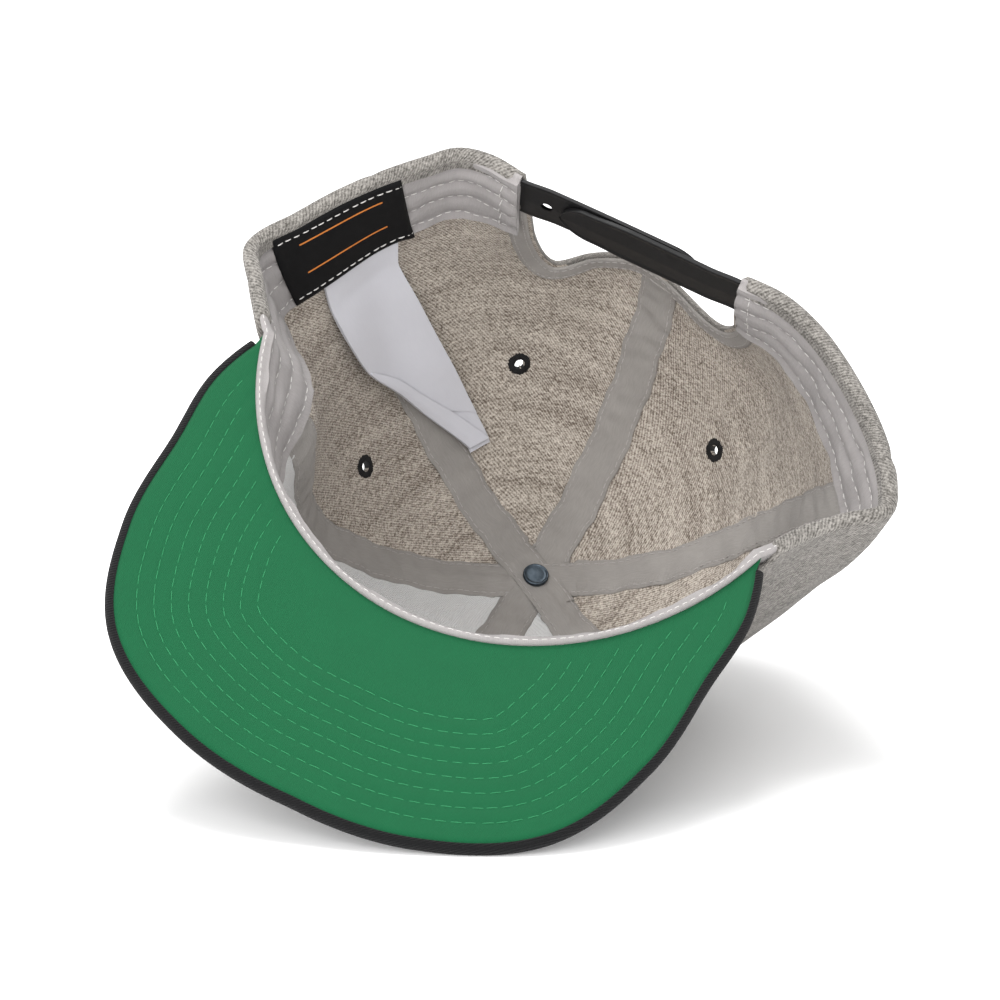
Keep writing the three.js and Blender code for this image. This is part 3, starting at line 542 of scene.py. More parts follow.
class Graph:
    """Material node graph with a principled shader at its end."""

    def __init__(self, name: str) -> None:
        """Makes an empty material and finds its shader.

        Args:
            name: the material's name.
        """
        self.material = bpy.data.materials.new(name)
        self.material.use_nodes = True
        self.tree = self.material.node_tree
        self.shader = self.tree.nodes["Principled BSDF"]

    def node(self, kind: str, inputs: dict | None = None, **settings: object) -> bpy.types.Node:
        """Adds a node.

        Args:
            kind: the node's type without its ShaderNode prefix.
            inputs: socket name or index to a value or to another node's socket.
            **settings: properties of the node itself.

        Returns:
            The new node.
        """
        made = self.tree.nodes.new("ShaderNode" + kind)
        for name, value in settings.items():
            setattr(made, name, value)
        self.feed(made, inputs or {})
        return made

    def feed(self, node: bpy.types.Node, inputs: dict) -> None:
        """Sets or links the sockets of a node.

        Args:
            node: the node.
            inputs: socket name or index to a value or socket.
        """
        for name, value in inputs.items():
            if isinstance(value, NodeSocket):
                self.tree.links.new(value, node.inputs[name])
            else:
                node.inputs[name].default_value = value

    def math(self, kind: str, a: object, b: object = 0.0, c: object = 0.0) -> NodeSocket:
        """Result of a math node on up to three values."""
        return self.node("Math", {0: a, 1: b, 2: c}, operation=kind).outputs[0]

    def cloth_place(self) -> tuple[NodeSocket, ...]:
        """Place on the cloth in millimetres across and along the weave, and the side it is on.

        Returns:
            The three values.
        """
        place = self.node("Attribute", attribute_name="weave", attribute_type="GEOMETRY")
        parts = self.node("SeparateXYZ", {0: place.outputs["Vector"]})
        return parts.outputs[0], parts.outputs[1], parts.outputs[2]

    def vector(self, x: object, y: object, z: object = 0.0) -> NodeSocket:
        """Vector made of three values."""
        return self.node("CombineXYZ", {0: x, 1: y, 2: z}).outputs[0]

    def noise(self, place: object, scale: float, detail: float = 2.0,
              rough: float = 0.5) -> NodeSocket:
        """Noise value at a place."""
        made = self.node("TexNoise", {"Vector": place, "Scale": scale, "Detail": detail, "Roughness": rough})
        return made.outputs[0]

    def grain(self, u: object, v: object, shares: tuple[float, float], detail: float = 2.0,
              rough: float = 0.5) -> NodeSocket:
        """Noise on the cloth, finer the larger its share is across and along the weave."""
        place = self.vector(self.math("MULTIPLY", u, shares[0]), self.math("MULTIPLY", v, shares[1]))
        return self.noise(place, 1.0, detail, rough)

    def wave(self, value: object, pitch: float) -> NodeSocket:
        """Sine of a value, with one crest each pitch."""
        return self.math("SINE", self.math("MULTIPLY", value, 2 * np.pi / pitch))

    def blend(self, part: object, low: object, high: object) -> NodeSocket:
        """Colour part of the way from low to high.

        Args:
            part: 0 for low, 1 for high.
            low, high: the two colours.

        Returns:
            The colour.
        """
        made = self.node("Mix", data_type="RGBA")
        for index, value in ((0, part), (6, low), (7, high)):
            if isinstance(value, NodeSocket):
                self.tree.links.new(value, made.inputs[index])
            else:
                made.inputs[index].default_value = value
        return made.outputs[2]

    def spread(self, value: object, low: float, high: float) -> NodeSocket:
        """Value stretched so that low becomes 0 and high becomes 1, clamped."""
        made = self.node("MapRange", {0: value, 1: low, 2: high, 3: 0.0, 4: 1.0})
        return made.outputs[0]

    def bump(self, height: object, distance: float, strength: float = 1.0) -> None:
        """Roughens the shader's surface by a height, in metres for a height of 1."""
        made = self.node("Bump", {"Height": height, "Distance": distance, "Strength": strength})
        self.tree.links.new(made.outputs[0], self.shader.inputs["Normal"])


Colour = tuple[float, float, float, float]


def tone(red: float, green: float, blue: float, share: float = 1.0) -> Colour:
    """Linear colour from screen values of 0 to 255, dimmed or brightened by a share."""
    values = [((c / 255 + 0.055) / 1.055) ** 2.4 if c > 10 else c / 255 / 12.92 for c in (red, green, blue)]
    return (values[0] * share, values[1] * share, values[2] * share, 1.0)


def shade(colour: Colour, share: float) -> Colour:
    """Colour dimmed or brightened by a share, but never quite white."""
    return tuple(min(value * share, 0.95) for value in colour[:3]) + (1.0,)


@dataclass(frozen=True)
class HeatherTwill:
    """Melange twill of pale and brown-grey fibres with diagonal wales, its outer face darkened as painted
    shade.
    """

    name: str = "heather_twill"
    pale: Colour = tone(201, 192, 181)
    dark: Colour = tone(98, 87, 77)
    # Outer face colours: the same cloth as inside, darkened as painted shade and given a greyer tint.
    outer_pale_shaded: Colour = tone(145, 141, 136)
    outer_dark_shaded: Colour = tone(74, 71, 67)
    wale: float = 0.86
    wale_slant: tuple[float, float] = (0.84, 0.55)
    wale_wander: float = 0.8
    yarn: float = 0.62
    streak_slope: float = 0.22
    dark_level: float = 1.14
    pale_level: float = 1.66

    def make(self) -> Material:
        """Builds the material.

        Returns:
            The material.
        """
        g = Graph(self.name)
        u, v, side = g.cloth_place()
        slant_u, slant_v = self.wale_slant
        slant = g.math("ADD", g.math("MULTIPLY", u, slant_u), g.math("MULTIPLY", v, slant_v))
        slant = g.math("MULTIPLY_ADD", g.noise(g.vector(u, v), 0.35, 2.0), self.wale_wander, slant)
        wale = g.wave(slant, self.wale)
        sloped = g.math("MULTIPLY_ADD", u, self.streak_slope, v)
        speck = g.grain(u, v, (0.8, 1.25), 3.0, 0.65)
        fibre = g.grain(u, v, (2.2, 1.8))
        streak = g.grain(u, sloped, (0.3, 0.7), 2.0, 0.6)
        cloud = g.grain(u, sloped, (0.035, 0.16))
        total: object = 0.0
        for layer, weight in ((speck, 1.25), (streak, 0.5), (fibre, 0.7), (cloud, 0.35), (wale, 0.11)):
            total = g.math("MULTIPLY_ADD", layer, weight, total)
        part = g.spread(total, self.dark_level, self.pale_level)
        # The outer face (side 0) takes the darker painted-shade colours, the inner face (side 1) the cloth's
        # own.
        inner = g.blend(part, self.dark, self.pale)
        outer = g.blend(part, self.outer_dark_shaded, self.outer_pale_shaded)
        g.feed(g.shader, {"Base Color": g.blend(side, outer, inner), "Roughness": 0.93,
                          "Sheen Weight": 0.12, "Sheen Roughness": 0.5, "Specular IOR Level": 0.18})
        height = g.math("MULTIPLY_ADD", g.wave(u, self.yarn), 0.22, g.math("MULTIPLY", wale, 0.5))
        g.bump(g.math("MULTIPLY_ADD", fibre, 0.9, height), 0.00016, 0.8)
        return g.material


@dataclass(frozen=True)
class PlainWeave:
    """Plain or ribbed cloth of one colour: fine threads both ways, soft stains and creases."""

    name: str
    colour: Colour
    pitch: float = 0.42
    rib: float = 0.0
    relief: float = 0.00008
    blotch: float = 0.12
    thread: float = 0.1
    roughness: float = 0.85
    sheen: float = 0.1
    gloss: float = 0.2

    def make(self) -> Material:
        """Builds the material.

        Returns:
            The material.
        """
        g = Graph(self.name)
        u, v, _ = g.cloth_place()
        across, up = g.wave(u, self.pitch), g.wave(v, self.pitch)
        grid = g.math("MULTIPLY_ADD", across, self.rib, g.math("MULTIPLY", across, up))
        slub = g.grain(u, v, (2.2, 0.3), 3.0, 0.6)
        stain = g.noise(g.vector(u, v), 0.09, 3.0, 0.55)
        light = g.math("MULTIPLY_ADD", g.spread(slub, 0.3, 0.7), self.thread, 1 - self.thread / 2)
        light = g.math("MULTIPLY_ADD", grid, self.thread * 0.4, light)
        light = g.math("SUBTRACT", light, self.blotch / 2)
        light = g.math("MULTIPLY_ADD", g.spread(stain, 0.3, 0.7), self.blotch, light)
        dark, bright = shade(self.colour, 0.35), shade(self.colour, 1.65)
        g.feed(g.shader, {"Base Color": g.blend(g.math("MULTIPLY", light, 0.5), dark, bright),
                          "Roughness": self.roughness, "Sheen Weight": self.sheen,
                          "Specular IOR Level": self.gloss})
        g.bump(g.math("MULTIPLY_ADD", slub, 1.2, grid), self.relief, 0.8)
        return g.material


@dataclass(frozen=True)
class Wool:
    """Black brushed wool with short tangled fibres."""

    name: str = "black_wool"
    colour: Colour = tone(18, 18, 19)
    tip: Colour = tone(38, 38, 39)
    wale: float = 1.1

    def make(self) -> Material:
        """Builds the material.

        Returns:
            The material.
        """
        g = Graph(self.name)
        u, v, _ = g.cloth_place()
        tangle = g.noise(g.vector(u, v), 2.4, 4.0, 0.65)
        clump = g.noise(g.vector(u, v), 0.5, 2.0)
        wale = g.wave(g.math("ADD", u, v), self.wale)
        part = g.math("MULTIPLY", g.spread(tangle, 0.45, 0.8), g.spread(clump, 0.2, 0.8))
        g.feed(g.shader, {"Base Color": g.blend(part, self.colour, self.tip), "Roughness": 0.97,
                          "Sheen Weight": 0.05, "Sheen Roughness": 0.6, "Specular IOR Level": 0.1})
        g.bump(g.math("MULTIPLY_ADD", wale, 0.25, tangle), 0.00035, 0.9)
        return g.material


@dataclass(frozen=True)
class Thread:
    """Twisted sewing or embroidery thread."""

    name: str
    colour: Colour
    roughness: float = 0.6
    twist: float = 0.3

    def make(self) -> Material:
        """Builds the material.

        Returns:
            The material.
        """
        g = Graph(self.name)
        u, v, _ = g.cloth_place()
        ply = g.wave(g.math("ADD", u, v), self.twist)
        light = g.math("MULTIPLY_ADD", ply, 0.2, 0.6)
        g.feed(g.shader, {"Base Color": g.blend(light, shade(self.colour, 0.45), shade(self.colour, 1.2)),
                          "Roughness": self.roughness, "Specular IOR Level": 0.3})
        g.bump(ply, 0.00005, 0.6)
        return g.material


@dataclass(frozen=True)
class WovenLabel:
    """Black damask label with a few plain coloured lines woven in."""

    name: str = "woven_label"
    ground: Colour = tone(9, 9, 10)
    worn: Colour = tone(24, 24, 26)
    line: Colour = tone(214, 130, 62)
    ribs_up: int = 90
    ribs_across: int = 130
    lines: tuple[float, ...] = (0.36, 0.78)
    line_half: float = 0.011
    line_start: float = 0.17
    line_end: float = 0.83

    def make(self) -> Material:
        """Builds the material: its weave coordinates run from 0 to 1 over the label.

        Returns:
            The material.
        """
        g = Graph(self.name)
        u, v, _ = g.cloth_place()
        ribs, cross = g.wave(v, 1 / self.ribs_up), g.wave(u, 1 / self.ribs_across)
        mask: object = 0.0
        for height in self.lines:
            near = g.math("LESS_THAN", g.math("ABSOLUTE", g.math("SUBTRACT", v, height)), self.line_half)
            mask = g.math("MAXIMUM", mask, near)
        mask = g.math("MULTIPLY", mask, g.math("GREATER_THAN", u, self.line_start))
        mask = g.math("MULTIPLY", mask, g.math("LESS_THAN", u, self.line_end))
        worn = g.noise(g.vector(u, v), 9.0, 3.0)
        ground = g.blend(g.math("MULTIPLY_ADD", cross, 0.08, g.math("MULTIPLY", worn, 0.5)),
                         self.ground, self.worn)
        lit = g.math("MULTIPLY", mask, g.math("MULTIPLY_ADD", cross, 0.12, 0.86))
        g.feed(g.shader, {"Base Color": g.blend(lit, ground, self.line), "Roughness": 0.6,
                          "Specular IOR Level": 0.12})
        relief = g.math("MULTIPLY", g.math("ADD", ribs, cross), 0.4)
        g.bump(g.math("MULTIPLY_ADD", mask, 1.5, relief), 0.00006)
        return g.material


@dataclass(frozen=True)
class MouldedPlastic:
    """Matte moulded strap plastic, faintly grained and scuffed."""

    name: str = "moulded_plastic"
    colour: Colour = tone(13, 13, 14)
    scuffed: Colour = tone(22, 22, 23)

    def make(self) -> Material:
        """Builds the material.

        Returns:
            The material.
        """
        g = Graph(self.name)
        place = g.node("TexCoord").outputs["Object"]
        grain = g.noise(place, 2600.0, 2.0)
        scuff = g.noise(place, 160.0, 4.0, 0.6)
        g.feed(g.shader, {"Base Color": g.blend(g.spread(scuff, 0.35, 0.75), self.colour, self.scuffed),
                          "Roughness": g.math("MULTIPLY_ADD", scuff, 0.25, 0.36),
                          "Specular IOR Level": 0.3})
        g.bump(grain, 0.00003, 0.5)
        return g.material


@dataclass(frozen=True)
class StampedMetal:
    """Blue-grey plated metal with fine scratches."""

    name: str = "stamped_metal"
    colour: Colour = tone(80, 89, 97)
    dull: Colour = tone(60, 68, 75)

    def make(self) -> Material:
        """Builds the material.

        Returns:
            The material.
        """
        g = Graph(self.name)
        place = g.node("TexCoord").outputs["Object"]
        scratch = g.noise(g.node("Mapping", {0: place, 3: (600.0, 6000.0, 600.0)}).outputs[0], 1.0, 3.0)
        cloud = g.noise(place, 900.0, 2.0)
        g.feed(g.shader, {"Base Color": g.blend(g.spread(cloud, 0.3, 0.8), self.colour, self.dull),
                          "Metallic": 1.0, "Roughness": g.math("MULTIPLY_ADD", scratch, 0.22, 0.22)})
        g.bump(scratch, 0.00001, 0.5)
        return g.material


class Finishes:
    """Every material of the cap, made once."""

    def __init__(self) -> None:
        """Builds the materials."""
        self.twill = HeatherTwill().make()
        self.tape = PlainWeave("tape_cotton", tone(147, 143, 139), pitch=0.5, rib=0.15, relief=0.00007,
                               blotch=0.18, thread=0.2).make()
        self.band = PlainWeave("band_cotton", tone(146, 142, 141), pitch=0.5, rib=0.1, relief=0.00007,
                               blotch=0.18, thread=0.17).make()
        self.buckram = PlainWeave("buckram_gauze", tone(234, 233, 231), pitch=0.95, relief=0.00016,
                                  blotch=0.05, thread=0.12, roughness=0.9).make()
        self.green = PlainWeave("green_twill", tone(13, 110, 66, 0.53), pitch=0.5, rib=0.8, relief=0.00004,
                                blotch=0.08, roughness=0.9).make()
        self.satin = PlainWeave("white_satin", tone(206, 206, 240), pitch=0.3, rib=0.5, relief=0.00002,
                                blotch=0.04, thread=0.04, roughness=0.42, sheen=0.2, gloss=0.45).make()
        self.wool = Wool().make()
        self.label = WovenLabel().make()
        self.plastic = MouldedPlastic().make()
        self.metal = StampedMetal().make()
        self.white_thread = Thread("white_thread", tone(214, 211, 208)).make()
        self.grey_thread = Thread("grey_thread", tone(180, 174, 172)).make()
        self.green_thread = Thread("green_thread", tone(42, 130, 84)).make()
        self.black_thread = Thread("black_thread", tone(24, 23, 24), roughness=0.7, twist=0.5).make()


def add_object(name: str, data: bpy.types.ID) -> Object:
    """Makes an object and links it to the scene."""
    made = bpy.data.objects.new(name, data)
    bpy.context.scene.collection.objects.link(made)
    return made


# A stitch swells from its ends to its middle and dives into the cloth at both ends.
STITCH_PLACES = np.array([-1.0, -0.72, 0.0, 0.72, 1.0])
STITCH_GIRTH = np.array([0.35, 0.9, 1.0, 0.9, 0.35])
STITCH_LIFT = np.array([-0.9, -0.05, 0.35, -0.05, -0.9])
STITCH_SIDES = 6
SMOOTH_BELOW = 55


class Cutting:
    """Vertices and faces of one piece while it is made, in the cap's frame in millimetres."""

    def __init__(self) -> None:
        """Starts with nothing."""
        self.points: list[Array] = []
        self.weaves: list[Array] = []
        self.faces: list[list[int]] = []
        self.count = 0

    def vertices(self, points: Array, weave: Array) -> int:
        """Adds vertices and returns the number of the first one.

        Args:
            points: places, with three numbers in the last axis.
            weave: cloth places, with two or three numbers in the last axis.

        Returns:
            The number.
        """
        first = self.count
        flat = points.reshape(-1, 3)
        cloth = np.zeros((len(flat), 3))
        spread = np.broadcast_to(weave, points.shape[:-1] + weave.shape[-1:])
        cloth[:, :weave.shape[-1]] = spread.reshape(len(flat), -1)
        self.points.append(flat)
        self.weaves.append(cloth)
        self.count += len(flat)
        return first

    def quads(self, grid: Array, keep: Array | None = None) -> None:
        """Adds the quads of a grid of vertex numbers, or only the cells to keep."""
        cells = np.stack([grid[:-1, :-1], grid[:-1, 1:], grid[1:, 1:], grid[1:, :-1]], -1)
        self.faces += (cells.reshape(-1, 4) if keep is None else cells[keep]).tolist()

    def sweep(self, loops: Array, weave: Array, closed: bool = False) -> None:
        """Adds a closed skin round loops of points that follow a path.

        Args:
            loops: stations x points round the loop x 3.
            weave: stations x points round the loop x 2 or 3.
            closed: joins the last station to the first in place of end caps.
        """
        stations, round_count = loops.shape[:2]
        first = self.vertices(loops, weave)
        grid = first + np.arange(stations * round_count).reshape(stations, round_count)
        grid = np.concatenate([grid, grid[:, :1]], axis=1)
        if closed:
            self.quads(np.concatenate([grid, grid[:1]], axis=0))
            return
        self.quads(grid)
        half = round_count // 2
        for row, order in ((grid[0], -1), (grid[-1], 1)):
            near, far = row[:half], row[:-1][::-1][:half]
            for k in range(half - 1):
                self.faces.append([int(near[k]), int(near[k + 1]), int(far[k + 1]), int(far[k])][::order])

    def strip(self, face: Array, back: Array, weave: Array) -> None:
        """Adds a closed strip between its face and its back, both with the same cloth places."""
        self.sweep(np.concatenate([face, back[:, ::-1]], axis=1),
                   np.concatenate([weave, weave[:, ::-1]], axis=1))

    def shell(self, near: Array, far: Array, weave_near: Array, weave_far: Array,
              hole: Array | None = None) -> None:
        """Adds a closed skin between two grids of the same size, with a hole through some cells.

        Args:
            near, far: the two grids.
            weave_near, weave_far: their cloth places.
            hole: cells to leave open.
        """
        rows, columns = near.shape[:2]
        first = self.vertices(near, weave_near)
        second = self.vertices(far, weave_far)
        a = first + np.arange(rows * columns).reshape(rows, columns)
        b = second + np.arange(rows * columns).reshape(rows, columns)
        hole = np.zeros((rows - 1, columns - 1), bool) if hole is None else hole
        self.quads(a, ~hole)
        self.quads(b[:, ::-1], ~hole[:, ::-1])
        solid = np.zeros((rows + 1, columns + 1), bool)
        solid[1:-1, 1:-1] = ~hole
        for i, j in zip(*np.nonzero(solid[:-1, :] != solid[1:, :])):
            if 0 < j < columns:
                pair = [a[i, j - 1], a[i, j], b[i, j], b[i, j - 1]]
                self.faces.append([int(x) for x in (pair[::-1] if solid[i + 1, j] else pair)][::-1])
        for i, j in zip(*np.nonzero(solid[:, :-1] != solid[:, 1:])):
            if 0 < i < rows:
                pair = [a[i - 1, j], a[i, j], b[i, j], b[i - 1, j]]
                self.faces.append([int(x) for x in (pair if solid[i, j + 1] else pair[::-1])][::-1])

    def stitches(self, path: Array, normals: Array, look: "StitchLook", seed: int = 0) -> None:
        """Adds a row of stitches along a path.

        Args:
            path: points that the row follows.
            normals: direction out of the cloth at each point.
            look: pitch, length and thickness of the stitches.
            seed: picks the small irregularities.
        """
        lengths = np.concatenate([[0], np.cumsum(np.linalg.norm(np.diff(path, axis=0), axis=1))])
        number = int(lengths[-1] / look.pitch)
        if number < 2:
            return
        draw = np.random.default_rng(seed)
        middles = (np.arange(number) + 0.5) * look.pitch + draw.normal(0, 0.05 * look.pitch, number)
        at = np.stack([middles - look.length / 2, middles + look.length / 2])
        ends = np.stack([np.interp(at, lengths, path[:, k]) for k in range(3)], -1)
        out = unit(np.stack([np.interp(middles, lengths, normals[:, k]) for k in range(3)], -1))
        heading = unit(ends[1] - ends[0])
        aside = unit(np.cross(out, heading))
        heading = unit(heading + aside * draw.normal(0, look.sway, (number, 1)))
        centre = ends.mean(0)
        stations = STITCH_PLACES * look.length / 2
        girth = STITCH_GIRTH * look.thick
        lift = STITCH_LIFT * look.thick + look.raise_by
        around = circle(STITCH_SIDES)
        points = (centre[:, None, None] + heading[:, None, None] * stations[None, :, None, None]
                  + out[:, None, None] * (lift[:, None] + girth[:, None] * np.sin(around))[None, :, :, None]
                  + aside[:, None, None] * (girth[:, None] * np.cos(around))[None, :, :, None])
        weave = np.zeros(points.shape[:-1] + (2,))
        weave[..., 0] = stations[None, :, None] + middles[:, None, None]
        weave[..., 1] = around[None, None, :] * look.thick
        first = self.vertices(points, weave)
        block = np.arange(len(stations) * STITCH_SIDES).reshape(-1, STITCH_SIDES)
        ring = np.concatenate([block, block[:, :1]], axis=1)
        cells = np.stack([ring[:-1, :-1], ring[:-1, 1:], ring[1:, 1:], ring[1:, :-1]], -1).reshape(-1, 4)
        offsets = first + block.size * np.arange(number)
        self.faces += (cells[None] + offsets[:, None, None]).reshape(-1, 4).tolist()
        self.faces += (block[0][::-1][None] + offsets[:, None]).tolist()
        self.faces += (block[-1][None] + offsets[:, None]).tolist()

    def mesh(self, name: str) -> bpy.types.Mesh:
        """Makes a bare mesh of the vertices and faces, laid as the cap lies."""
        mesh = bpy.data.meshes.new(name)
        mesh.from_pydata(REST.place(np.concatenate(self.points)).tolist(), [], self.faces)
        return mesh

    def make(self, name: str, material: Material, slot: Slot,
             replaces: Sequence[str] = ()) -> Object:
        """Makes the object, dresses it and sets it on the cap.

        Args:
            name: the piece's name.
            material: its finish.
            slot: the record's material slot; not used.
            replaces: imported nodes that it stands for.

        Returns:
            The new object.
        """
        mesh = self.mesh(name)
        weave = mesh.attributes.new("weave", "FLOAT_VECTOR", "POINT")
        weave.data.foreach_set("vector", np.concatenate(self.weaves).astype(np.float32).ravel())
        mesh.polygons.foreach_set("use_smooth", np.ones(len(mesh.polygons), bool))
        mesh.update()
        mesh.set_sharp_from_angle(angle=np.radians(SMOOTH_BELOW))
        mesh.materials.append(material)
        piece = add_object(name, mesh)
        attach(piece, "root")
        if replaces:
            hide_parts(*replaces)
        LOG.info("%s: %d faces", name, len(mesh.polygons))
        return piece


@dataclass(frozen=True)
class StitchLook:
    """Pitch, length and thickness of a row of stitches, in millimetres."""

    pitch: float = 3.0
    length: float = 2.3
    thick: float = 0.2
    raise_by: float = 0.05
    sway: float = 0.04


def distance_along(points: Array, axis: int) -> Array:
    """Running length of a grid of points along one axis.

    Args:
        points: the grid.
        axis: the axis to run along.

    Returns:
        The lengths, 0 at the start.
    """
    steps = np.linalg.norm(np.diff(points, axis=axis), axis=-1)
    start = np.zeros_like(np.take(steps, [0], axis=axis))
    return np.concatenate([start, np.cumsum(steps, axis=axis)], axis=axis)


@dataclass(frozen=True)
class Crown:
    """The six cloth panels, with their rolled rim, seams and top stitching."""

    columns: int = 66
    rows: int = 92
    top_share: float = 0.992
    seam_half: float = 0.08
    groove: float = 0.8
    groove_width: float = 1.8
    stitch_aside: float = 3.4
    roll_inside: float = 3.2
    roll_depth: float = 4.9
    roll_cloth: float = 0.9
    long_wave: tuple[float, float] = (0.3, 34.0)
    short_wave: tuple[float, float] = (0.1, 11.0)
    seam_pucker: tuple[float, float] = (0.16, 5.5)
    stitched_to: float = 0.93
    roll_steps: int = 9
    eyelet_hole: float = 2.3
    top_look: StitchLook = StitchLook(2.9, 2.2, 0.2)

    def lines(self, start: Seam, stop: Seam, shares: Array, along: Array) -> Array:
        """Angles of lines up a panel: shares of the way across by shares of the way up."""
        return mix(seam_angle(start, along), seam_angle(stop, along), shares)

    def rolled(self, angle: Array) -> Array:
        """How much of the rim's roll there is: 1 at the sides, 0 on the peak and over the arch.

        Args:
            angle: degrees round the head.

        Returns:
            The amounts.
        """
        turned = np.mod(angle, 360)
        aside = np.minimum(turned, 360 - turned)
        off_peak = smooth((aside - CAP.peak_corner - 1.5) / 3)
        before, behind = ARCH[0][0] - 0.5 - turned, turned - ARCH[-1][0] - 0.5
        return off_peak * np.maximum(smooth(before / 2), smooth(behind / 2))

    def panel_grid(self, start: Seam, stop: Seam) -> tuple[Array, Array, Array]:
        """Angle and share of each grid point of a panel, and the shares across it.

        Args:
            start, stop: the panel's seams.

        Returns:
            Angles, shares up and shares across.
        """
        across = np.linspace(0, 1, self.columns)
        across = mix(across, smooth(across), 0.25)
        parts = np.linspace(0, 1, self.rows)
        along = np.full((self.rows, self.columns), 0.0)
        for _ in range(3):
            angle = self.lines(start, stop, across[None, :], along)
            first = cloth_start(angle[0])
            along = first[None, :] + (self.top_share - first[None, :]) * parts[:, None]
        return self.lines(start, stop, across[None, :], along), along, across

    def lengths(self, start: Seam, stop: Seam) -> tuple[Array, Array]:
        """Shares up the middle of a panel and the running lengths to them.

        Args:
            start, stop: the panel's seams.

        Returns:
            Shares and lengths.
        """
        shares = np.linspace(0, 1, 161)
        line = CAP.inside((start.angle + stop.angle) / 2, shares)
        return shares, distance_along(line[:, None], 0)[:, 0]

    def relief(self, u: Array, v: Array, from_seam: Array, seed: int) -> Array:
        """Soft unevenness of the cloth: long waves, and puckers beside the seams.

        Args:
            u, v: places on the cloth.
            from_seam: millimetres to the nearer seam.
            seed: picks the pattern.

        Returns:
            The heights.
        """
        pucker = bell(from_seam - self.stitch_aside, 2.6)
        layers = enumerate((self.long_wave, self.short_wave, self.seam_pucker))
        long, short, fine = (high * ripple(u, v, wave, seed + k) for k, (high, wave) in layers)
        return long + short + pucker * fine

    def build_panel(self, name: str, start: Seam, stop: Seam, seed: int, finish: Finishes) -> None:
        """Makes one panel.

        Args:
            name: the panel's name.
            start, stop: its seams.
            seed: picks the unevenness.
            finish: the materials.
        """
        angle, along, across = self.panel_grid(start, stop)
        reach = CAP.reach(angle, along)
        middle = (seam_angle(start, along) + seam_angle(stop, along)) / 2
        u = np.radians(angle - middle) * reach
        aside = np.minimum(angle - seam_angle(start, along), seam_angle(stop, along) - angle)
        from_seam = np.radians(aside) * reach
        v = np.interp(along, *self.lengths(start, stop))
        squeeze = np.where(across < 0.5, self.seam_half, -self.seam_half)
        close = np.clip(1 - from_seam / 1.5, 0, 1)
        angle = angle + arc_angle(angle, along, squeeze[None, :] * close)
        bumps = self.relief(u, v, from_seam, seed)
        groove = self.groove * bell(from_seam, self.groove_width)
        calm = smooth((1 - along) / 0.08)
        near = wall(angle, along, groove * calm - bumps * 0.5 * calm)
        far = wall(angle, along, CAP.cloth + bumps * calm)
        weave_near = np.stack([u, v, np.zeros_like(u)], -1)
        weave_far = np.stack([u, v, np.ones_like(u)], -1)
        roll_near, roll_far = self.roll(angle[0], along[0], near[0])
        weave_roll = np.repeat(weave_near[:1], len(roll_near), axis=0)
        weave_roll[..., 1] -= np.linspace(len(roll_near), 1, len(roll_near))[:, None] * 0.8
        near, far = np.concatenate([roll_near, near]), np.concatenate([roll_far, far])
        weave_near = np.concatenate([weave_roll, weave_near])
        weave_far = np.concatenate([weave_roll + [0, 0, 1], weave_far])
        spot = eyelet_spot(start, stop)[0]
        middle = (near[:-1, :-1] + near[1:, 1:]) / 2
        hole = np.linalg.norm(middle - spot, axis=-1) < self.eyelet_hole
        cutting = Cutting()
        cutting.shell(near, far, weave_near, weave_far, hole)
        cutting.make(f"crown_{name}_cloth", finish.twill, Slot.TWILL, [f"crown_{name}"])

    def roll(self, angle: Array, along: Array, edge: Array) -> tuple[Array, Array]:
        """Rows of points where the cloth rolls over the rim to the inside, outer and inner skin.

        Args:
            angle, along: the cloth's lowest row.
            edge: its points.

        Returns:
            Both skins.
        """
        amount = self.rolled(angle)[None, :]
        deep = mix(CAP.cloth, self.roll_depth, amount)
        rises = np.array([[self.roll_inside], [self.roll_inside / 2], [0.4]])
        leg = climb(angle[None, :], along[None, :], rises)
        up = unit(wall(angle, along + 0.012, 0.0) - wall(angle, along, 0.0))
        inner_leg = wall(angle[None, :], leg, deep)
        inner_leg_back = wall(angle[None, :], leg, deep - self.roll_cloth)
        turns = np.linspace(0, np.pi, self.roll_steps)[:, None]
        depth = deep / 2 * (1 + np.cos(turns))
        dip = np.maximum(deep / 2, 0.3) * 0.85 * np.sin(turns)
        start = np.broadcast_to(angle[None, :], depth.shape)
        foot = np.broadcast_to(along[None, :], depth.shape)
        around = wall(start, foot, depth) - up[None] * dip[..., None]
        tucked = np.maximum(deep / 2 - self.roll_cloth, 0.1) / (deep / 2)
        around_back = wall(start, foot, deep / 2 * (1 + np.cos(turns) * tucked))
        around_back = around_back - up[None] * (dip * tucked)[..., None]
        settle = np.linspace(0, 1, self.roll_steps)[:, None, None] ** 3
        around = around + (edge[None] - wall(angle, along, 0.0)[None]) * settle
        return np.concatenate([inner_leg, around[:-1]]), np.concatenate([inner_leg_back, around_back[:-1]])

    def build_top_stitching(self, finish: Finishes) -> None:
        """Makes the rows of stitches that run beside each seam on the outside.

        Args:
            finish: the materials.
        """
        cutting = Cutting()
        for number, seam in enumerate(SEAMS[:6]):
            foot = float(cloth_start(np.array([seam_angle(seam, np.array(0.0))]))[0])
            along = np.linspace(foot + 0.01, self.stitched_to, 160)
            for side in Side:
                middle = seam_angle(seam, along)
                angle = middle + side * arc_angle(middle, along, self.stitch_aside)
                seed = number * 2 + side + 10
                cutting.stitches(wall(angle, along, 0.05), CAP.normal(angle, along), self.top_look, seed)
        cutting.make("crown_top_stitching", finish.grey_thread, Slot.TWILL)

    def build(self, finish: Finishes) -> None:
        """Makes the panels and their stitching.

        Args:
            finish: the materials.
        """
        for number, name in enumerate(PANELS):
            self.build_panel(name, SEAMS[number], SEAMS[number + 1], 40 + number * 5, finish)
        self.build_top_stitching(finish)


EYELET_SHARE = 0.58


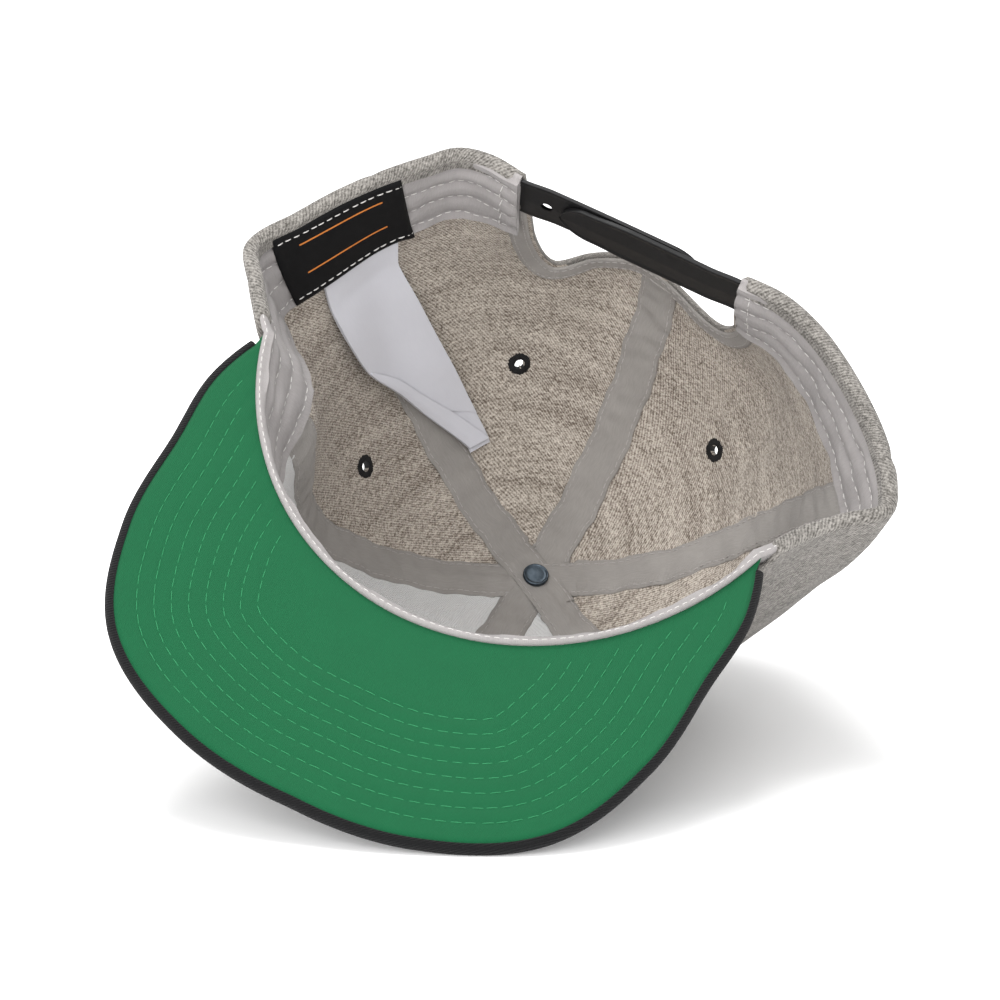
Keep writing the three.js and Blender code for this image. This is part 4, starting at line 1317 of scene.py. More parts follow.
def eyelet_spot(start: Seam, stop: Seam) -> tuple[Array, Array]:
    """Middle of a panel's eyelet on the cloth's outer face, and the direction out of the cloth.

    Args:
        start, stop: the panel's seams.

    Returns:
        The point and the direction.
    """
    angle = (start.angle + stop.angle) / 2 + np.array([0.0, 0.0, 0.0, 2.0, -2.0])
    along = EYELET_SHARE + np.array([0.0, 0.01, -0.01, 0.0, 0.0])
    spot, above, below, right, left = wall(angle, along, 0.0)
    return spot, unit(np.cross(above - below, right - left))


@dataclass(frozen=True)
class Eyelets:
    """Embroidered ventilation rings through the panels."""

    hole: float = 1.7
    outer: float = 3.7
    height: float = 0.6
    strands: int = 38
    sides: int = 190
    lining: float = 1.9
    ragged: float = 0.22
    strand_out: float = 0.12
    strand_up: float = 0.16
    outside_height: float = 0.45

    def build(self, finish: Finishes) -> None:
        """Makes the six rings.

        Args:
            finish: the materials.
        """
        for number, name in enumerate(PANELS):
            point, normal = eyelet_spot(SEAMS[number], SEAMS[number + 1])
            backing = CAP.cloth + (self.lining if name.startswith("front") else 0.0)
            self.build_one(name, point, normal, backing, number, finish)

    def build_one(self, name: str, point: Array, normal: Array, backing: float, seed: int,
                  finish: Finishes) -> None:
        """Makes one ring of worked thread, on both faces of the cloth and through it.

        Args:
            name: the panel's name.
            point, normal: where it is and the direction out.
            backing: thickness of the cloth behind it.
            seed: picks its unevenness.
            finish: the materials.
        """
        draw = np.random.default_rng(70 + seed)
        aside = unit(np.cross(normal, [0.3, 0.2, 1.0]))
        other = np.cross(normal, aside)
        turn = circle(self.sides)
        strand = np.abs(np.sin(turn * self.strands / 2))
        ragged = np.repeat(draw.uniform(-self.ragged, self.ragged, self.strands), self.sides // self.strands)
        out = np.linspace(0, 1, 9)
        radius = mix(self.hole, self.outer, out)
        dome = np.sin(np.pi * np.clip(out * 0.82 + 0.18, 0, 1)) ** 0.6 * self.height
        radii = np.concatenate([radius[::-1], radius])
        heights = np.concatenate([dome[::-1] * self.outside_height, -backing - dome])
        bulge = (ragged + self.strand_out * strand)[:, None]
        reach = radii[None, :] + bulge * (radii[None, :] / self.outer) ** 2
        swell = np.where(np.abs(heights) > 0.2, self.strand_up * np.sign(heights), 0.0)
        lift = heights[None, :] + swell[None, :] * strand[:, None]
        around = aside * np.cos(turn)[:, None, None] + other * np.sin(turn)[:, None, None]
        loops = point + normal * lift[..., None] + around * reach[..., None]
        weave = np.stack([np.broadcast_to(turn[:, None] * 2.4, reach.shape), reach], -1)
        cutting = Cutting()
        cutting.sweep(loops, weave, closed=True)
        cutting.make(f"eyelet_{name}_thread", finish.black_thread, Slot.THREAD, [f"eyelet_{name}"])


@dataclass(frozen=True)
class Lining:
    """Stiff gauze behind the two front panels."""

    depth: float = 2.1
    thick: float = 0.5
    foot: float = 12.0
    seam_share: float = 0.012
    top_share: float = 0.955
    eyelet_hole: float = 2.2
    columns: int = 34
    rows: int = 70

    def build(self, finish: Finishes) -> None:
        """Makes both linings, which run on under the tapes and the sweatband.

        Args:
            finish: the materials.
        """
        for name, start, stop in (("left", FRONT_LEFT, FRONT_CENTRE), ("right", FRONT_CENTRE, FRONT_RIGHT)):
            shares = np.linspace(self.seam_share, 1 - self.seam_share, self.columns)[None, :]
            low = climb(mix(start.angle, stop.angle, shares[0]), 0, self.foot)
            along = mix(low[None, :], self.top_share, np.linspace(0, 1, self.rows)[:, None])
            angle = mix(seam_angle(start, along), seam_angle(stop, along), shares)
            face = wall(angle, along, self.depth + self.thick)
            u, v = distance_along(face, 1), distance_along(face, 0)
            near = wall(angle, along, self.depth + self.thick + 0.12 * ripple(u, v, 22, 9))
            far = wall(angle, along, self.depth)
            spot, normal = eyelet_spot(start, stop)
            middle = (near[:-1, :-1] + near[1:, 1:]) / 2
            hole = np.linalg.norm(np.cross(middle - spot, normal), axis=-1) < self.eyelet_hole
            cutting = Cutting()
            cutting.shell(near, far, pairs(u, v), pairs(u, v), hole)
            cutting.make(f"buckram_{name}_gauze", finish.buckram, Slot.BUCKRAM, [f"buckram_{name}"])


@dataclass(frozen=True)
class Tapes:
    """Seam tapes: three long tapes that cross under the rivet, each sewn down along both edges."""

    half: float = 6.6
    thick: float = 0.55
    edge: float = 0.3
    crown: float = 0.55
    stitch_in: float = 1.3
    stitch_dent: float = 0.22
    pucker: float = 0.16
    wrinkles: tuple[float, float] = (0.45, 0.38)
    wander: tuple[float, float] = (0.35, 0.2)
    over_lining: float = 0.85
    lining_angle: float = 67.0
    pile_step: float = 0.75
    pile_flat: float = 8.0
    pile_slope: float = 9.0
    foot: float = 0.15
    length: float = 125.0
    stop: float = 14.3
    step: float = 1.1
    look: StitchLook = StitchLook(2.7, 2.05, 0.15, 0.03)

    def run(self, seam: Seam, foot: float, side: int) -> tuple[Array, Array]:
        """Angles and shares of the tape's middle and of how far across it, up one seam.

        Args:
            seam: the seam to follow.
            foot: share where it starts.
            side: 1, or -1 for the other way across.

        Returns:
            Angles and shares.
        """
        end = float(share_at(np.array(seam.angle), self.stop))
        along = np.linspace(foot, end, int(self.length / self.step))
        across = self.across() * self.half
        middle = seam_angle(seam, along)[:, None]
        angle = middle + arc_angle(middle, along[:, None], side * across[None, :])
        return angle, np.broadcast_to(along[:, None], angle.shape)

    def across(self) -> Array:
        """Places across the tape, from -1 to 1."""
        return np.concatenate([[-1.0], np.linspace(-0.97, 0.97, 15), [1.0]])

    def over(self, axis: float, side: int) -> tuple[Array, Array]:
        """Angles and shares where the tape passes straight over the apex.

        Args:
            axis: direction of the tape in degrees.
            side: 1, or -1 for the other way across.

        Returns:
            Angles and shares.
        """
        offset = np.linspace(-self.stop, self.stop, int(2 * self.stop / self.step) + 2)[1:-1, None]
        aside = self.across()[None, :] * self.half * side
        a = np.radians(axis)
        x = offset * np.sin(a) + aside * np.cos(a)
        y = offset * np.cos(a) - aside * np.sin(a)
        radius = np.maximum(np.hypot(x, y), 0.3)
        angle = np.degrees(np.arctan2(x, y))
        return angle, share_at(angle, radius)

    def build_tape(self, name: str, first: Seam, second: Seam, feet: tuple[float, float], layer: int,
                   stitching: Cutting, finish: Finishes, replaces: Sequence[str]) -> None:
        """Makes one long tape from the foot of one seam over the apex to the foot of the other.

        Args:
            name: the piece's name.
            first, second: the two seams, across from each other.
            feet: shares where the tape starts on each seam.
            layer: how many tapes it lies on at the crossing.
            stitching: takes its stitches.
            finish: the materials.
            replaces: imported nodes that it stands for.
        """
        up = self.run(first, feet[0], -1)
        top = self.over(second.angle, 1)
        down = [part[::-1] for part in self.run(second, feet[1], 1)]
        angle = np.concatenate([up[0], top[0], down[0]])
        along = np.concatenate([up[1], top[1], down[1]])
        flat = wall(angle, along, 2.0)
        v = distance_along(flat, 0)
        run = v[:, v.shape[1] // 2]
        middle = run[len(up[0]) + len(top[0]) // 2]
        from_top = np.abs(run - middle)
        pile = layer * self.pile_step * (1 - smooth((from_top - self.pile_flat) / self.pile_slope))
        across = self.across()
        rounded = np.sqrt(np.clip(1 - across ** 2, 0, 1)) ** 0.6
        body = self.crown * (1 - across ** 2)
        u = np.broadcast_to(across * self.half, angle.shape)
        wrinkle = self.wrinkles[0] * ripple(u, v, 15, 21 + layer)
        wrinkle = wrinkle + self.wrinkles[1] * ripple(u * 0.5, v, 7, 25 + layer)
        from_edge = self.half - np.abs(u)
        sewn = bell(from_edge - self.stitch_in, 0.5)
        pucker = np.sin(v * 2 * np.pi / self.look.pitch) * bell(from_edge - 0.4, 1.2)
        aside = np.abs(np.mod(angle + 180, 360) - 180)
        on_lining = smooth((self.lining_angle - aside) / 8) * smooth((0.985 - along) / 0.03)
        pile = pile[:, None] + self.over_lining * on_lining
        height = (self.thick + wrinkle * 0.8) * rounded + body + pile
        height = height - self.stitch_dent * sewn + self.pucker * pucker
        shift = self.wander[0] * np.sin(v * 2 * np.pi / 23 + layer)
        shift = shift + self.wander[1] * np.sin(v * 2 * np.pi / 9)
        angle = angle + np.where(np.abs(run - middle)[:, None] > 16, arc_angle(angle, along, shift), 0)
        base = CAP.cloth + self.edge
        face = wall(angle, along, base + height)
        back = wall(angle, along, base - 0.15 + pile)
        cutting = Cutting()
        cutting.strip(face, back, pairs(u, v))
        cutting.make(name, finish.tape, Slot.TAPE, replaces)
        normals = -CAP.normal(angle, along)
        columns = np.arange(angle.shape[1])
        for side in Side:
            place = np.interp(side * (self.half - self.stitch_in) / self.half, across, columns)
            low = int(place)
            path = mix(face[:, low], face[:, low + 1], place - low)
            stitching.stitches(path, normals[:, low], self.look, 90 + layer * 2 + side)

    def build(self, finish: Finishes) -> None:
        """Makes the three tapes and their stitches.

        Args:
            finish: the materials.
        """
        stitching = Cutting()
        back_foot = float(ARCH_SHARE(180.0)) + 0.03
        plan = (
            ("tape_front_to_back", BACK_CENTRE, FRONT_CENTRE, back_foot, ["tape_front", "tape_back"]),
            ("tape_left_to_right", FRONT_LEFT, BACK_RIGHT, self.foot, ["tape_left", "tape_right"]),
            ("tape_top", BACK_LEFT, FRONT_RIGHT, self.foot, ["tape_over_top"]),
        )
        for layer, (name, first, second, foot, replaces) in enumerate(plan):
            self.build_tape(name, first, second, (foot, self.foot), layer, stitching, finish, replaces)
        stitching.make("tape_stitching", finish.grey_thread, Slot.TAPE)


@dataclass(frozen=True)
class Sweatband:
    """Cotton band round the inside of the rim, sewn in four rows with soft channels between them."""

    rows: tuple[float, ...] = (4.4, 11.6, 19.6, 27.6)
    back_depth: float = 2.0
    face_depth: float = 3.3
    puff: float = 0.95
    roll: float = 1.5
    step: float = 1.0
    end_lean: float = 0.25
    end_lift: float = 1.3
    gathers: tuple[float, float] = (0.42, 0.55)
    waves: tuple[tuple[float, float, float], ...] = ((0.5, 61, 0), (0.35, 27, 1))
    loose_top: float = 0.45
    label_middle: float = 251.5
    label_half: float = 13.0
    creases: tuple[tuple[float, float, float], ...] = (
        (0.028, 5, 0.9), (0.19, 9, 0.7), (0.205, 5, -0.6), (0.3, 12, 0.5), (0.72, 6, 0.5),
    )
    look: StitchLook = StitchLook(3.0, 2.1, 0.14, 0.02)

    def ends(self) -> tuple[float, float]:
        """Angles of the band's two ends, beside the back opening."""
        return ARCH[-1][0] + 0.3, 360 + ARCH[0][0] - 0.3

    def edge(self, angle: Array, distance: Array) -> Array:
        """Angle of a column at a distance up, leaning back at the ends to follow the opening.

        Args:
            angle: the column's angle at the rim.
            distance: millimetres up.

        Returns:
            The angles.
        """
        first, last = self.ends()
        lean_left = (ARCH_LEFT(0.15) - ARCH_LEFT(0.0)) / 15 * distance * self.end_lean
        lean_right = (ARCH_RIGHT(0.15) - ARCH_RIGHT(0.0)) / 15 * distance * self.end_lean
        near_left = 1 - smooth((angle - first) / 9)
        near_right = 1 - smooth((last - angle) / 9)
        return angle + lean_left * near_left + lean_right * near_right

    def lifted(self, angle: Array) -> Array:
        """Extra depth at the two ends, where the straps run under the band."""
        first, last = self.ends()
        return self.end_lift * (1 - smooth((np.minimum(angle - first, last - angle) - 2) / 8))

    def surface(self, angle: Array, distance: Array, run: Array) -> tuple[Array, Array, Array]:
        """Angle, share and depth of the band's face.

        Args:
            angle: angle of each column at the rim.
            distance: distance up the band.
            run: running length round the band.

        Returns:
            Angle, share and depth of each point.
        """
        turned = self.edge(angle, distance)
        waves = sum(high * np.sin(run * 2 * np.pi / pitch + shift) for high, pitch, shift in self.waves)
        rise = distance + waves * smooth((distance - 20) / 10)
        along = climb(turned, 0, np.maximum(rise, 0))
        between = np.ones_like(distance)
        for row in self.rows:
            between = between * (1 - bell(distance - row, 1.7))
        gather = self.gathers[0] * ripple(run, distance * 0.35, 8.5, 5) * (1 - 0.5 * between)
        gather = gather + self.gathers[1] * ripple(run, distance * 0.4, 19, 6) * between
        gather = gather * smooth((np.abs(angle - self.label_middle) - self.label_half) / 4)
        crease = 0.0
        for place, reach, deep in self.creases:
            middle = place * run.max() + distance * 0.15
            crease = crease + deep * bell(run - middle, reach)
        loose = self.loose_top * smooth((distance - 26) / 4)
        depth = self.face_depth + self.puff * between + gather + crease * 0.5 * between + loose
        return turned, along, depth + self.lifted(angle)

    def build(self, finish: Finishes) -> None:
        """Makes the band and its rows of stitches.

        Args:
            finish: the materials.
        """
        first, last = self.ends()
        fine = np.linspace(first, last, 1200)
        length = distance_along(wall(fine, 0.0, 3.0)[None], 1)[0]
        columns = int(length[-1] / self.step)
        angle = np.interp(np.linspace(0, length[-1], columns), length, fine)[:, None]
        run = np.linspace(0, length[-1], columns)[:, None]
        distance = np.concatenate([np.linspace(0, 29.4, 44), [29.8, 30.0]])[None, :]
        turned, along, depth = self.surface(*np.broadcast_arrays(angle, distance, run))
        face = wall(turned, along, depth)
        up = unit(wall(angle[:, 0], 0.015, 3.0) - wall(angle[:, 0], 0.0, 3.0))
        turns = np.linspace(0, np.pi, 8)[1:-1]
        low, high = self.back_depth - 0.6, self.face_depth + 0.35
        roll_depth = (low + high) / 2 + (high - low) / 2 * np.cos(np.pi - turns)
        dip = self.roll * np.sin(turns)
        roll = wall(angle, 0.0, roll_depth[None, :]) - up[:, None] * dip[None, :, None]
        back_along = climb(self.edge(angle, distance[:, -4::-6]), 0, distance[:, -4::-6])
        behind = self.back_depth + self.lifted(angle)
        back = wall(self.edge(angle, distance[:, -4::-6]), back_along, behind)
        over = wall(turned[:, -1:], along[:, -1:] + 0.003, (depth[:, -1:] + behind) / 2)
        loops = np.concatenate([roll, face, over, back], axis=1)
        v = np.concatenate([-self.roll * np.sin(turns), distance[0], [30.6], 61 - distance[0, -4::-6]])
        weave = pairs(run, v[None, :])
        if loops.shape[1] % 2:
            loops, weave = loops[:, :-1], weave[:, :-1]
        cutting = Cutting()
        cutting.sweep(loops, weave)
        cutting.make("sweatband_cloth", finish.band, Slot.BAND, ["sweatband"])
        self.stitch(angle, run, roll, finish)

    def stitch(self, angle: Array, run: Array, roll: Array, finish: Finishes) -> None:
        """Makes the rows of stitches along the band and the row on the rolled edge over the peak.

        Args:
            angle, run: angle and running length of the columns.
            roll: points of the rolled edge.
            finish: the materials.
        """
        cutting = Cutting()
        for number, row in enumerate(self.rows):
            distance = np.full_like(run, row)
            turned, along, depth = self.surface(angle, distance, run)
            path = wall(turned, along, depth)[:, 0]
            cutting.stitches(path, -CAP.normal(turned, along)[:, 0], self.look, 120 + number)
        ahead = np.abs(angle[:, 0] - 360) < CAP.peak_corner + 6
        middle = roll[ahead, 3]
        out = np.broadcast_to([0.0, 0.0, -1.0], middle.shape)
        cutting.stitches(middle, out, StitchLook(2.6, 1.8, 0.12, 0.0), 128)
        for end, sign in ((0, 1), (-1, -1)):
            distance = np.linspace(2, 28, 30)[:, None]
            column = np.full_like(distance, angle[end, 0] + sign * 3.0)
            place = np.full_like(distance, run[end, 0] + sign * 4.0)
            turned, along, depth = self.surface(column, distance, place)
            path, out = wall(turned, along, depth)[:, 0], -CAP.normal(turned, along)[:, 0]
            cutting.stitches(path, out, self.look, 130 + end)
        cutting.make("sweatband_stitching", finish.white_thread, Slot.BAND)


@dataclass(frozen=True)
class ArchFacing:
    """Tape that finishes the inside edge of the back opening, with two rows of stitches."""

    width: float = 6.4
    inset: float = 1.1
    thick: float = 0.7
    rows: tuple[float, ...] = (1.4, 5.0)
    wrinkle: float = 0.14
    look: StitchLook = StitchLook(2.4, 1.8, 0.14, 0.03)

    def offsets(self, places: Array, distances: Array) -> tuple[Array, Array]:
        """Angles and shares at distances from the opening's edge into the cloth.

        Args:
            places: angles along the edge.
            distances: distances from the edge.

        Returns:
            Angles and shares, places by distances.
        """
        share = np.maximum(ARCH_SHARE(places), 0)
        step = 0.4
        ahead = CAP.inside(places + step, np.maximum(ARCH_SHARE(places + step), 0))
        behind = CAP.inside(places - step, np.maximum(ARCH_SHARE(places - step), 0))
        tangent = unit(ahead - behind)
        for _ in range(10):
            tangent[1:-1] = unit(tangent[:-2] + 2 * tangent[1:-1] + tangent[2:])
        inward = unit(np.cross(CAP.normal(places, share), tangent))
        round_step = (CAP.inside(places + 0.5, share) - CAP.inside(places - 0.5, share))
        up_step = (CAP.inside(places, share + 0.005) - CAP.inside(places, share - 0.005)) / 0.01
        basis = np.stack([round_step, up_step], -1)
        solved = np.stack([np.linalg.lstsq(b, d, rcond=None)[0] for b, d in zip(basis, inward)])
        solved = solved * np.sign(solved[len(solved) // 2, 1])
        return (places[:, None] + solved[:, :1] * distances[None, :],
                share[:, None] + solved[:, 1:] * distances[None, :])

    def build(self, finish: Finishes) -> None:
        """Makes the facing and its stitches.

        Args:
            finish: the materials.
        """
        places = np.linspace(ARCH[0][0] + 0.4, ARCH[-1][0] - 0.4, 260)
        steps = np.array([0.0, 0.12, 0.4, 0.8, 1.4, 2.0, 2.8, 3.6, 4.4, 5.0, 5.5, 5.9, 6.25, self.width])
        distances = self.inset + steps
        angle, along = self.offsets(places, distances)
        along = np.maximum(along, 0)
        part = (distances - self.inset) / self.width
        rounded = np.clip(np.sqrt(np.clip(1 - (2 * part - 1) ** 6, 0, 1)), 0.25, 1)
        run = distance_along(CAP.inside(angle[:, :1], along[:, :1]), 0)
        wrinkle = self.wrinkle * ripple(run, distances[None, :], 12, 31) * rounded
        face = wall(angle, along, CAP.cloth + 0.15 + self.thick * rounded + wrinkle)
        back = wall(angle, along, CAP.cloth + 0.05)
        weave = pairs(run, distances[None, :])
        cutting = Cutting()
        cutting.strip(face, back, weave)
        cutting.make("arch_facing", finish.tape, Slot.TAPE, ["arch_binding"])
        stitching = Cutting()
        for number, row in enumerate(self.rows):
            column = int(np.argmin(np.abs(distances - row - self.inset)))
            out = -CAP.normal(angle[:, column], along[:, column])
            stitching.stitches(face[:, column], out, self.look, 140 + number)
        stitching.make("arch_stitching", finish.grey_thread, Slot.TAPE)


@dataclass(frozen=True)
class Labels:
    """Woven label on the sweatband and the satin care tag that hangs from under it."""

    start: tuple[float, float] = (239.8, 235.9)
    stop: tuple[float, float] = (267.3, 266.3)
    low: float = 0.6
    high: float = 30.4
    label_thick: float = 0.7
    label_lift: float = 4.75
    label_plan: tuple[float, float] = (40.0, 28.0)
    tag_plan: tuple[float, float] = (26.0, 60.0)
    tag_size: tuple[float, float] = (0.03, 0.16)
    tag_thick: float = 0.35
    layers: tuple[tuple[float, float, float, float], ...] = (
        (0.16, 0.71, 0.71, 2.7), (0.16, 0.645, 0.585, 3.3),
    )
    flap_from: float = 0.41
    flap_to: float = 0.7
    look: StitchLook = StitchLook(2.9, 2.2, 0.2, 0.05)

    def build_label(self, finish: Finishes) -> None:
        """Makes the label with a row of white stitches along its top and bottom.

        Args:
            finish: the materials.
        """
        middle = np.linspace(self.low + 0.3, self.high - 0.3, 28)
        distance = np.concatenate([[self.low], middle, [self.high]])[None, :]
        across = np.linspace(0, 1, 46)[:, None]
        up = (distance - self.low) / (self.high - self.low)
        angle = mix(mix(*self.start, up), mix(*self.stop, up), across)
        along = climb(angle, 0, distance)
        wide, high = self.label_plan
        hem = np.minimum(np.minimum(up, 1 - up) * high, np.minimum(across, 1 - across) * wide)
        thick = self.label_thick * np.clip(hem / 0.8 + 0.35, 0, 1) + 0.25 * bell(hem - 1.2, 0.9)
        loose_corner = smooth((0.12 - across) / 0.12) * smooth((up - 0.8) / 0.2)
        lift = self.label_lift + (0.3 * ripple(across * wide, up * high, 26, 51) + 0.8 * loose_corner)
        face = wall(angle, along, lift + thick)
        back = wall(angle, along, lift - 0.25)
        weave = pairs(1 - across, 1 - up)
        cutting = Cutting()
        cutting.strip(face, back, weave)
        label = cutting.make("label_cloth", finish.label, Slot.LABEL, ["label"])
        stitching = Cutting()
        for number, column in enumerate((3, 26)):
            stitching.stitches(face[:, column], -CAP.normal(angle, along)[:, column], self.look, 150 + number)
        stitching.make("label_stitching", finish.white_thread, Slot.LABEL)

    def tag_face(self, along: Array, across: Array, depth: Array) -> Array:
        """Point of the care tag: across runs from its left edge to its right edge.

        Args:
            along, across: place on the tag.
            depth: millimetres in from the crown.

        Returns:
            The points.
        """
        row = np.clip(along, TAG_ROWS[0].along, TAG_ROWS[-1].along)
        angle = mix(TAG_LEFT(row), TAG_RIGHT(row), across)
        return wall(angle, along, depth + TAG_LIFT(row) * CAP.band_width)

    def build_tag(self, finish: Finishes) -> None:
        """Makes the tag: a strip folded back on itself at a slant, the upper layer ending short.

        Args:
            finish: the materials.
        """
        cutting = Cutting()
        for start, stop_left, stop_right, depth in self.layers:
            across = np.concatenate([[0.0, 0.015], np.linspace(0.05, 0.95, 20), [0.985, 1.0]])[:, None]
            part = np.linspace(0, 1, 56)[None, :]
            along = start + (mix(stop_left, stop_right, 1 - across) - start) * part
            u, v = across * self.tag_plan[0], part * self.tag_plan[1]
            free = smooth((part - 0.15) / 0.15)
            curl = 0.5 * np.sin(np.pi * across) + 0.25 * ripple(u, v, 30, 61)
            height = depth + (curl + 0.5 * smooth((0.06 - across) / 0.06)) * free
            face = self.tag_face(along, across, height + self.tag_thick)
            back = self.tag_face(along, across, height)
            weave = pairs(u, v)
            cutting.strip(face, back, weave)
        self.add_flap(cutting)
        tag = cutting.make("care_tag_satin", finish.satin, Slot.SATIN, ["care_tag"])

    def add_flap(self, cutting: Cutting) -> None:
        """Adds the slanted turn-over along the tag's lower left edge.

        Args:
            cutting: takes the flap.
        """
        along = np.linspace(self.flap_from, self.flap_to, 40)[:, None]
        wide = Curve([0.4, 0.45, 0.52, 0.6, 0.66, 0.7], [0.01, 0.12, 0.25, 0.42, 0.62, 0.9])(along)
        part = np.concatenate([[0.0, 0.02], np.linspace(0.08, 0.95, 12), [0.99, 1.0]])[None, :]
        across = part * wide
        opened = smooth((along - self.flap_from) / 0.1)
        lift = 4.4 + 0.9 * np.sin(np.pi * np.clip(part, 0, 0.5)) * opened - 0.4 * part
        face = self.tag_face(along, across, lift + self.tag_thick)
        back = self.tag_face(along, across, lift)
        weave = np.stack([across * 26, np.broadcast_to(along * 125, across.shape)], -1)
        cutting.strip(face, back, weave)

    def build(self, finish: Finishes) -> None:
        """Makes both."""
        self.build_label(finish)
        self.build_tag(finish)


@dataclass(frozen=True)
class Peak:
    """Flat peak: black wool over the board and rolled round its edge, green cloth underneath."""

    columns: int = 190
    margin: float = 2.3
    top_relief: float = 0.22
    under_relief: float = 0.17
    corner_gap: float = 3.5
    rows: tuple[float, ...] = (8.6, 13.3, 18.0, 22.7, 27.4, 32.1, 36.8, 41.5)
    look: StitchLook = StitchLook(4.1, 3.3, 0.15, 0.0, 0.02)

    def outline(self, parts: Array) -> tuple[Array, Array, Array]:
        """Joint with the crown, outer edge and outward direction in plan, from corner to corner.

        Args:
            parts: places from corner to corner, -1 to 1.

        Returns:
            The three rows.
        """
        angle = parts * CAP.peak_corner
        reach = CAP.opening_reach(angle)
        joint = np.stack([reach * np.sin(np.radians(angle)), reach * np.cos(np.radians(angle))], -1)
        edge = CAP.peak_edge(parts * PEAK[-1][0], 0, 0)[..., :2]
        slope = np.gradient(edge, axis=0)
        outward = unit(np.stack([-slope[:, 1], slope[:, 0]], -1))
        return joint, edge, outward * np.sign((outward * (edge - joint)).sum(-1).mean())

    def raise_up(self, plan: Array, rise: Array | float) -> Array:
        """Points over a plan, at a rise above the peak's underside."""
        return np.concatenate([plan, (CAP.bow(plan[..., 0]) + rise)[..., None]], -1)

    def inset(self, plan: Array, edge: Array) -> Array:
        """Distance of each point from the outer edge.

        Args:
            plan: the points.
            edge: points of the outer edge.

        Returns:
            The distances.
        """
        flat = plan.reshape(-1, 1, 2)
        gaps = np.concatenate([np.linalg.norm(flat[k:k + 800] - edge[None], axis=-1).min(1)
                               for k in range(0, len(flat), 800)])
        return gaps.reshape(plan.shape[:-1])

    def puff(self, inset: Array) -> Array:
        """Relief between the rows of stitches: 0 on a row, 1 between two rows.

        Args:
            inset: distances from the outer edge.

        Returns:
            The relief.
        """
        pitch = self.rows[1] - self.rows[0]
        wave = np.abs(np.sin(np.pi * (inset - self.rows[0]) / pitch)) ** 0.7
        outer, inner = (inset - self.rows[0] + pitch) / pitch, (self.rows[-1] + pitch - inset) / pitch
        return mix(1.0, wave, smooth(outer) * smooth(inner))

    def build(self, finish: Finishes) -> None:
        """Makes the cover, the underside and the stitches of both.

        Args:
            finish: the materials.
        """
        parts = np.linspace(-1, 1, self.columns)
        joint, edge, outward = self.outline(parts)
        radius = CAP.peak_thick / 2
        centre = edge - outward * radius
        steps = np.linspace(0, 1, 60)[None, :, None]
        top_plan = mix(joint[:, None], centre[:, None], steps)
        relief = self.top_relief * self.puff(self.inset(top_plan, edge))
        top = self.raise_up(top_plan, CAP.peak_thick + relief - 0.2)
        turns = np.linspace(np.pi / 2, -np.pi / 2, 11)[1:-1]
        roll = self.raise_up(centre[:, None] + outward[:, None] * (radius * np.cos(turns))[None, :, None],
                             radius + (radius + 0.1) * np.sin(turns)[None, :])
        tucks = np.array([0.0, 0.12, 0.25, 0.38, 0.42])
        lip_plan = centre[:, None] - outward[:, None] * tucks[None, :, None]
        lip = self.raise_up(lip_plan, np.array([-0.1, -0.08, 0.0, 0.3, 0.9])[None, :])
        back = np.linspace(0, 1, 66)[None, 1:, None]
        under = self.raise_up(mix(lip_plan[:, -1:], joint[:, None], back), 1.1)
        loops = np.concatenate([top, roll, lip, under], axis=1)
        loops = loops[:, :loops.shape[1] // 2 * 2]
        weave = loops[..., :2] + np.array([0.0, 1.0]) * (loops[..., 2:] * 0.8)
        cutting = Cutting()
        cutting.sweep(loops, weave)
        cutting.make("peak_wool_cover", finish.wool, Slot.WOOL, ["peak_cover"])
        self.build_underside(joint, edge, outward, finish)
        self.build_stitching(joint, edge, outward, finish)

    def build_underside(self, joint: Array, edge: Array, outward: Array, finish: Finishes) -> None:
        """Makes the green cloth inside the rolled edge.

        Args:
            joint, edge, outward: the outline.
            finish: the materials.
        """
        rim = edge - outward * self.margin
        steps = np.linspace(0, 1, 90)[None, :, None]
        plan = mix(joint[:, None], rim[:, None], steps)
        inset = self.inset(plan, edge)
        tuck = 0.5 * bell(inset - self.margin, 0.8)
        wave = 0.12 * ripple(plan[..., 0], plan[..., 1], 38, 81)
        face = self.raise_up(plan, 0.22 - self.under_relief * self.puff(inset) + tuck + wave * 0.5)
        back = self.raise_up(plan, 1.0)
        cutting = Cutting()
        cutting.shell(face, back, plan, plan)
        cutting.make("peak_green_underside", finish.green, Slot.GREEN, ["peak_underside"])

    def build_stitching(self, joint: Array, edge: Array, outward: Array, finish: Finishes) -> None:
        """Makes the rows of stitches, parallel to the outer edge, below and above.

        Args:
            joint, edge, outward: the outline.
            finish: the materials.
        """
        below, above = Cutting(), Cutting()
        for number, row in enumerate(self.rows):
            line = edge - outward * row
            line = line[np.abs(self.inset(line, edge) - row) < 0.35]
            clear = np.linalg.norm(line[:, None] - joint[None], axis=-1).min(1) > self.corner_gap
            hollow = np.hypot(line[:, 0] / CAP.head_side, line[:, 1] / CAP.head_front) > 1.03
            line = line[clear & hollow]
            flat = np.broadcast_to([0.0, 0.0, 1.0], (len(line), 3))
            below.stitches(self.raise_up(line, 0.16), -flat, self.look, 160 + number)
            above.stitches(self.raise_up(line, CAP.peak_thick - 0.12), flat, self.look, 170 + number)
        below.make("peak_green_stitching", finish.green_thread, Slot.GREEN)
        above.make("peak_black_stitching", finish.black_thread, Slot.WOOL)


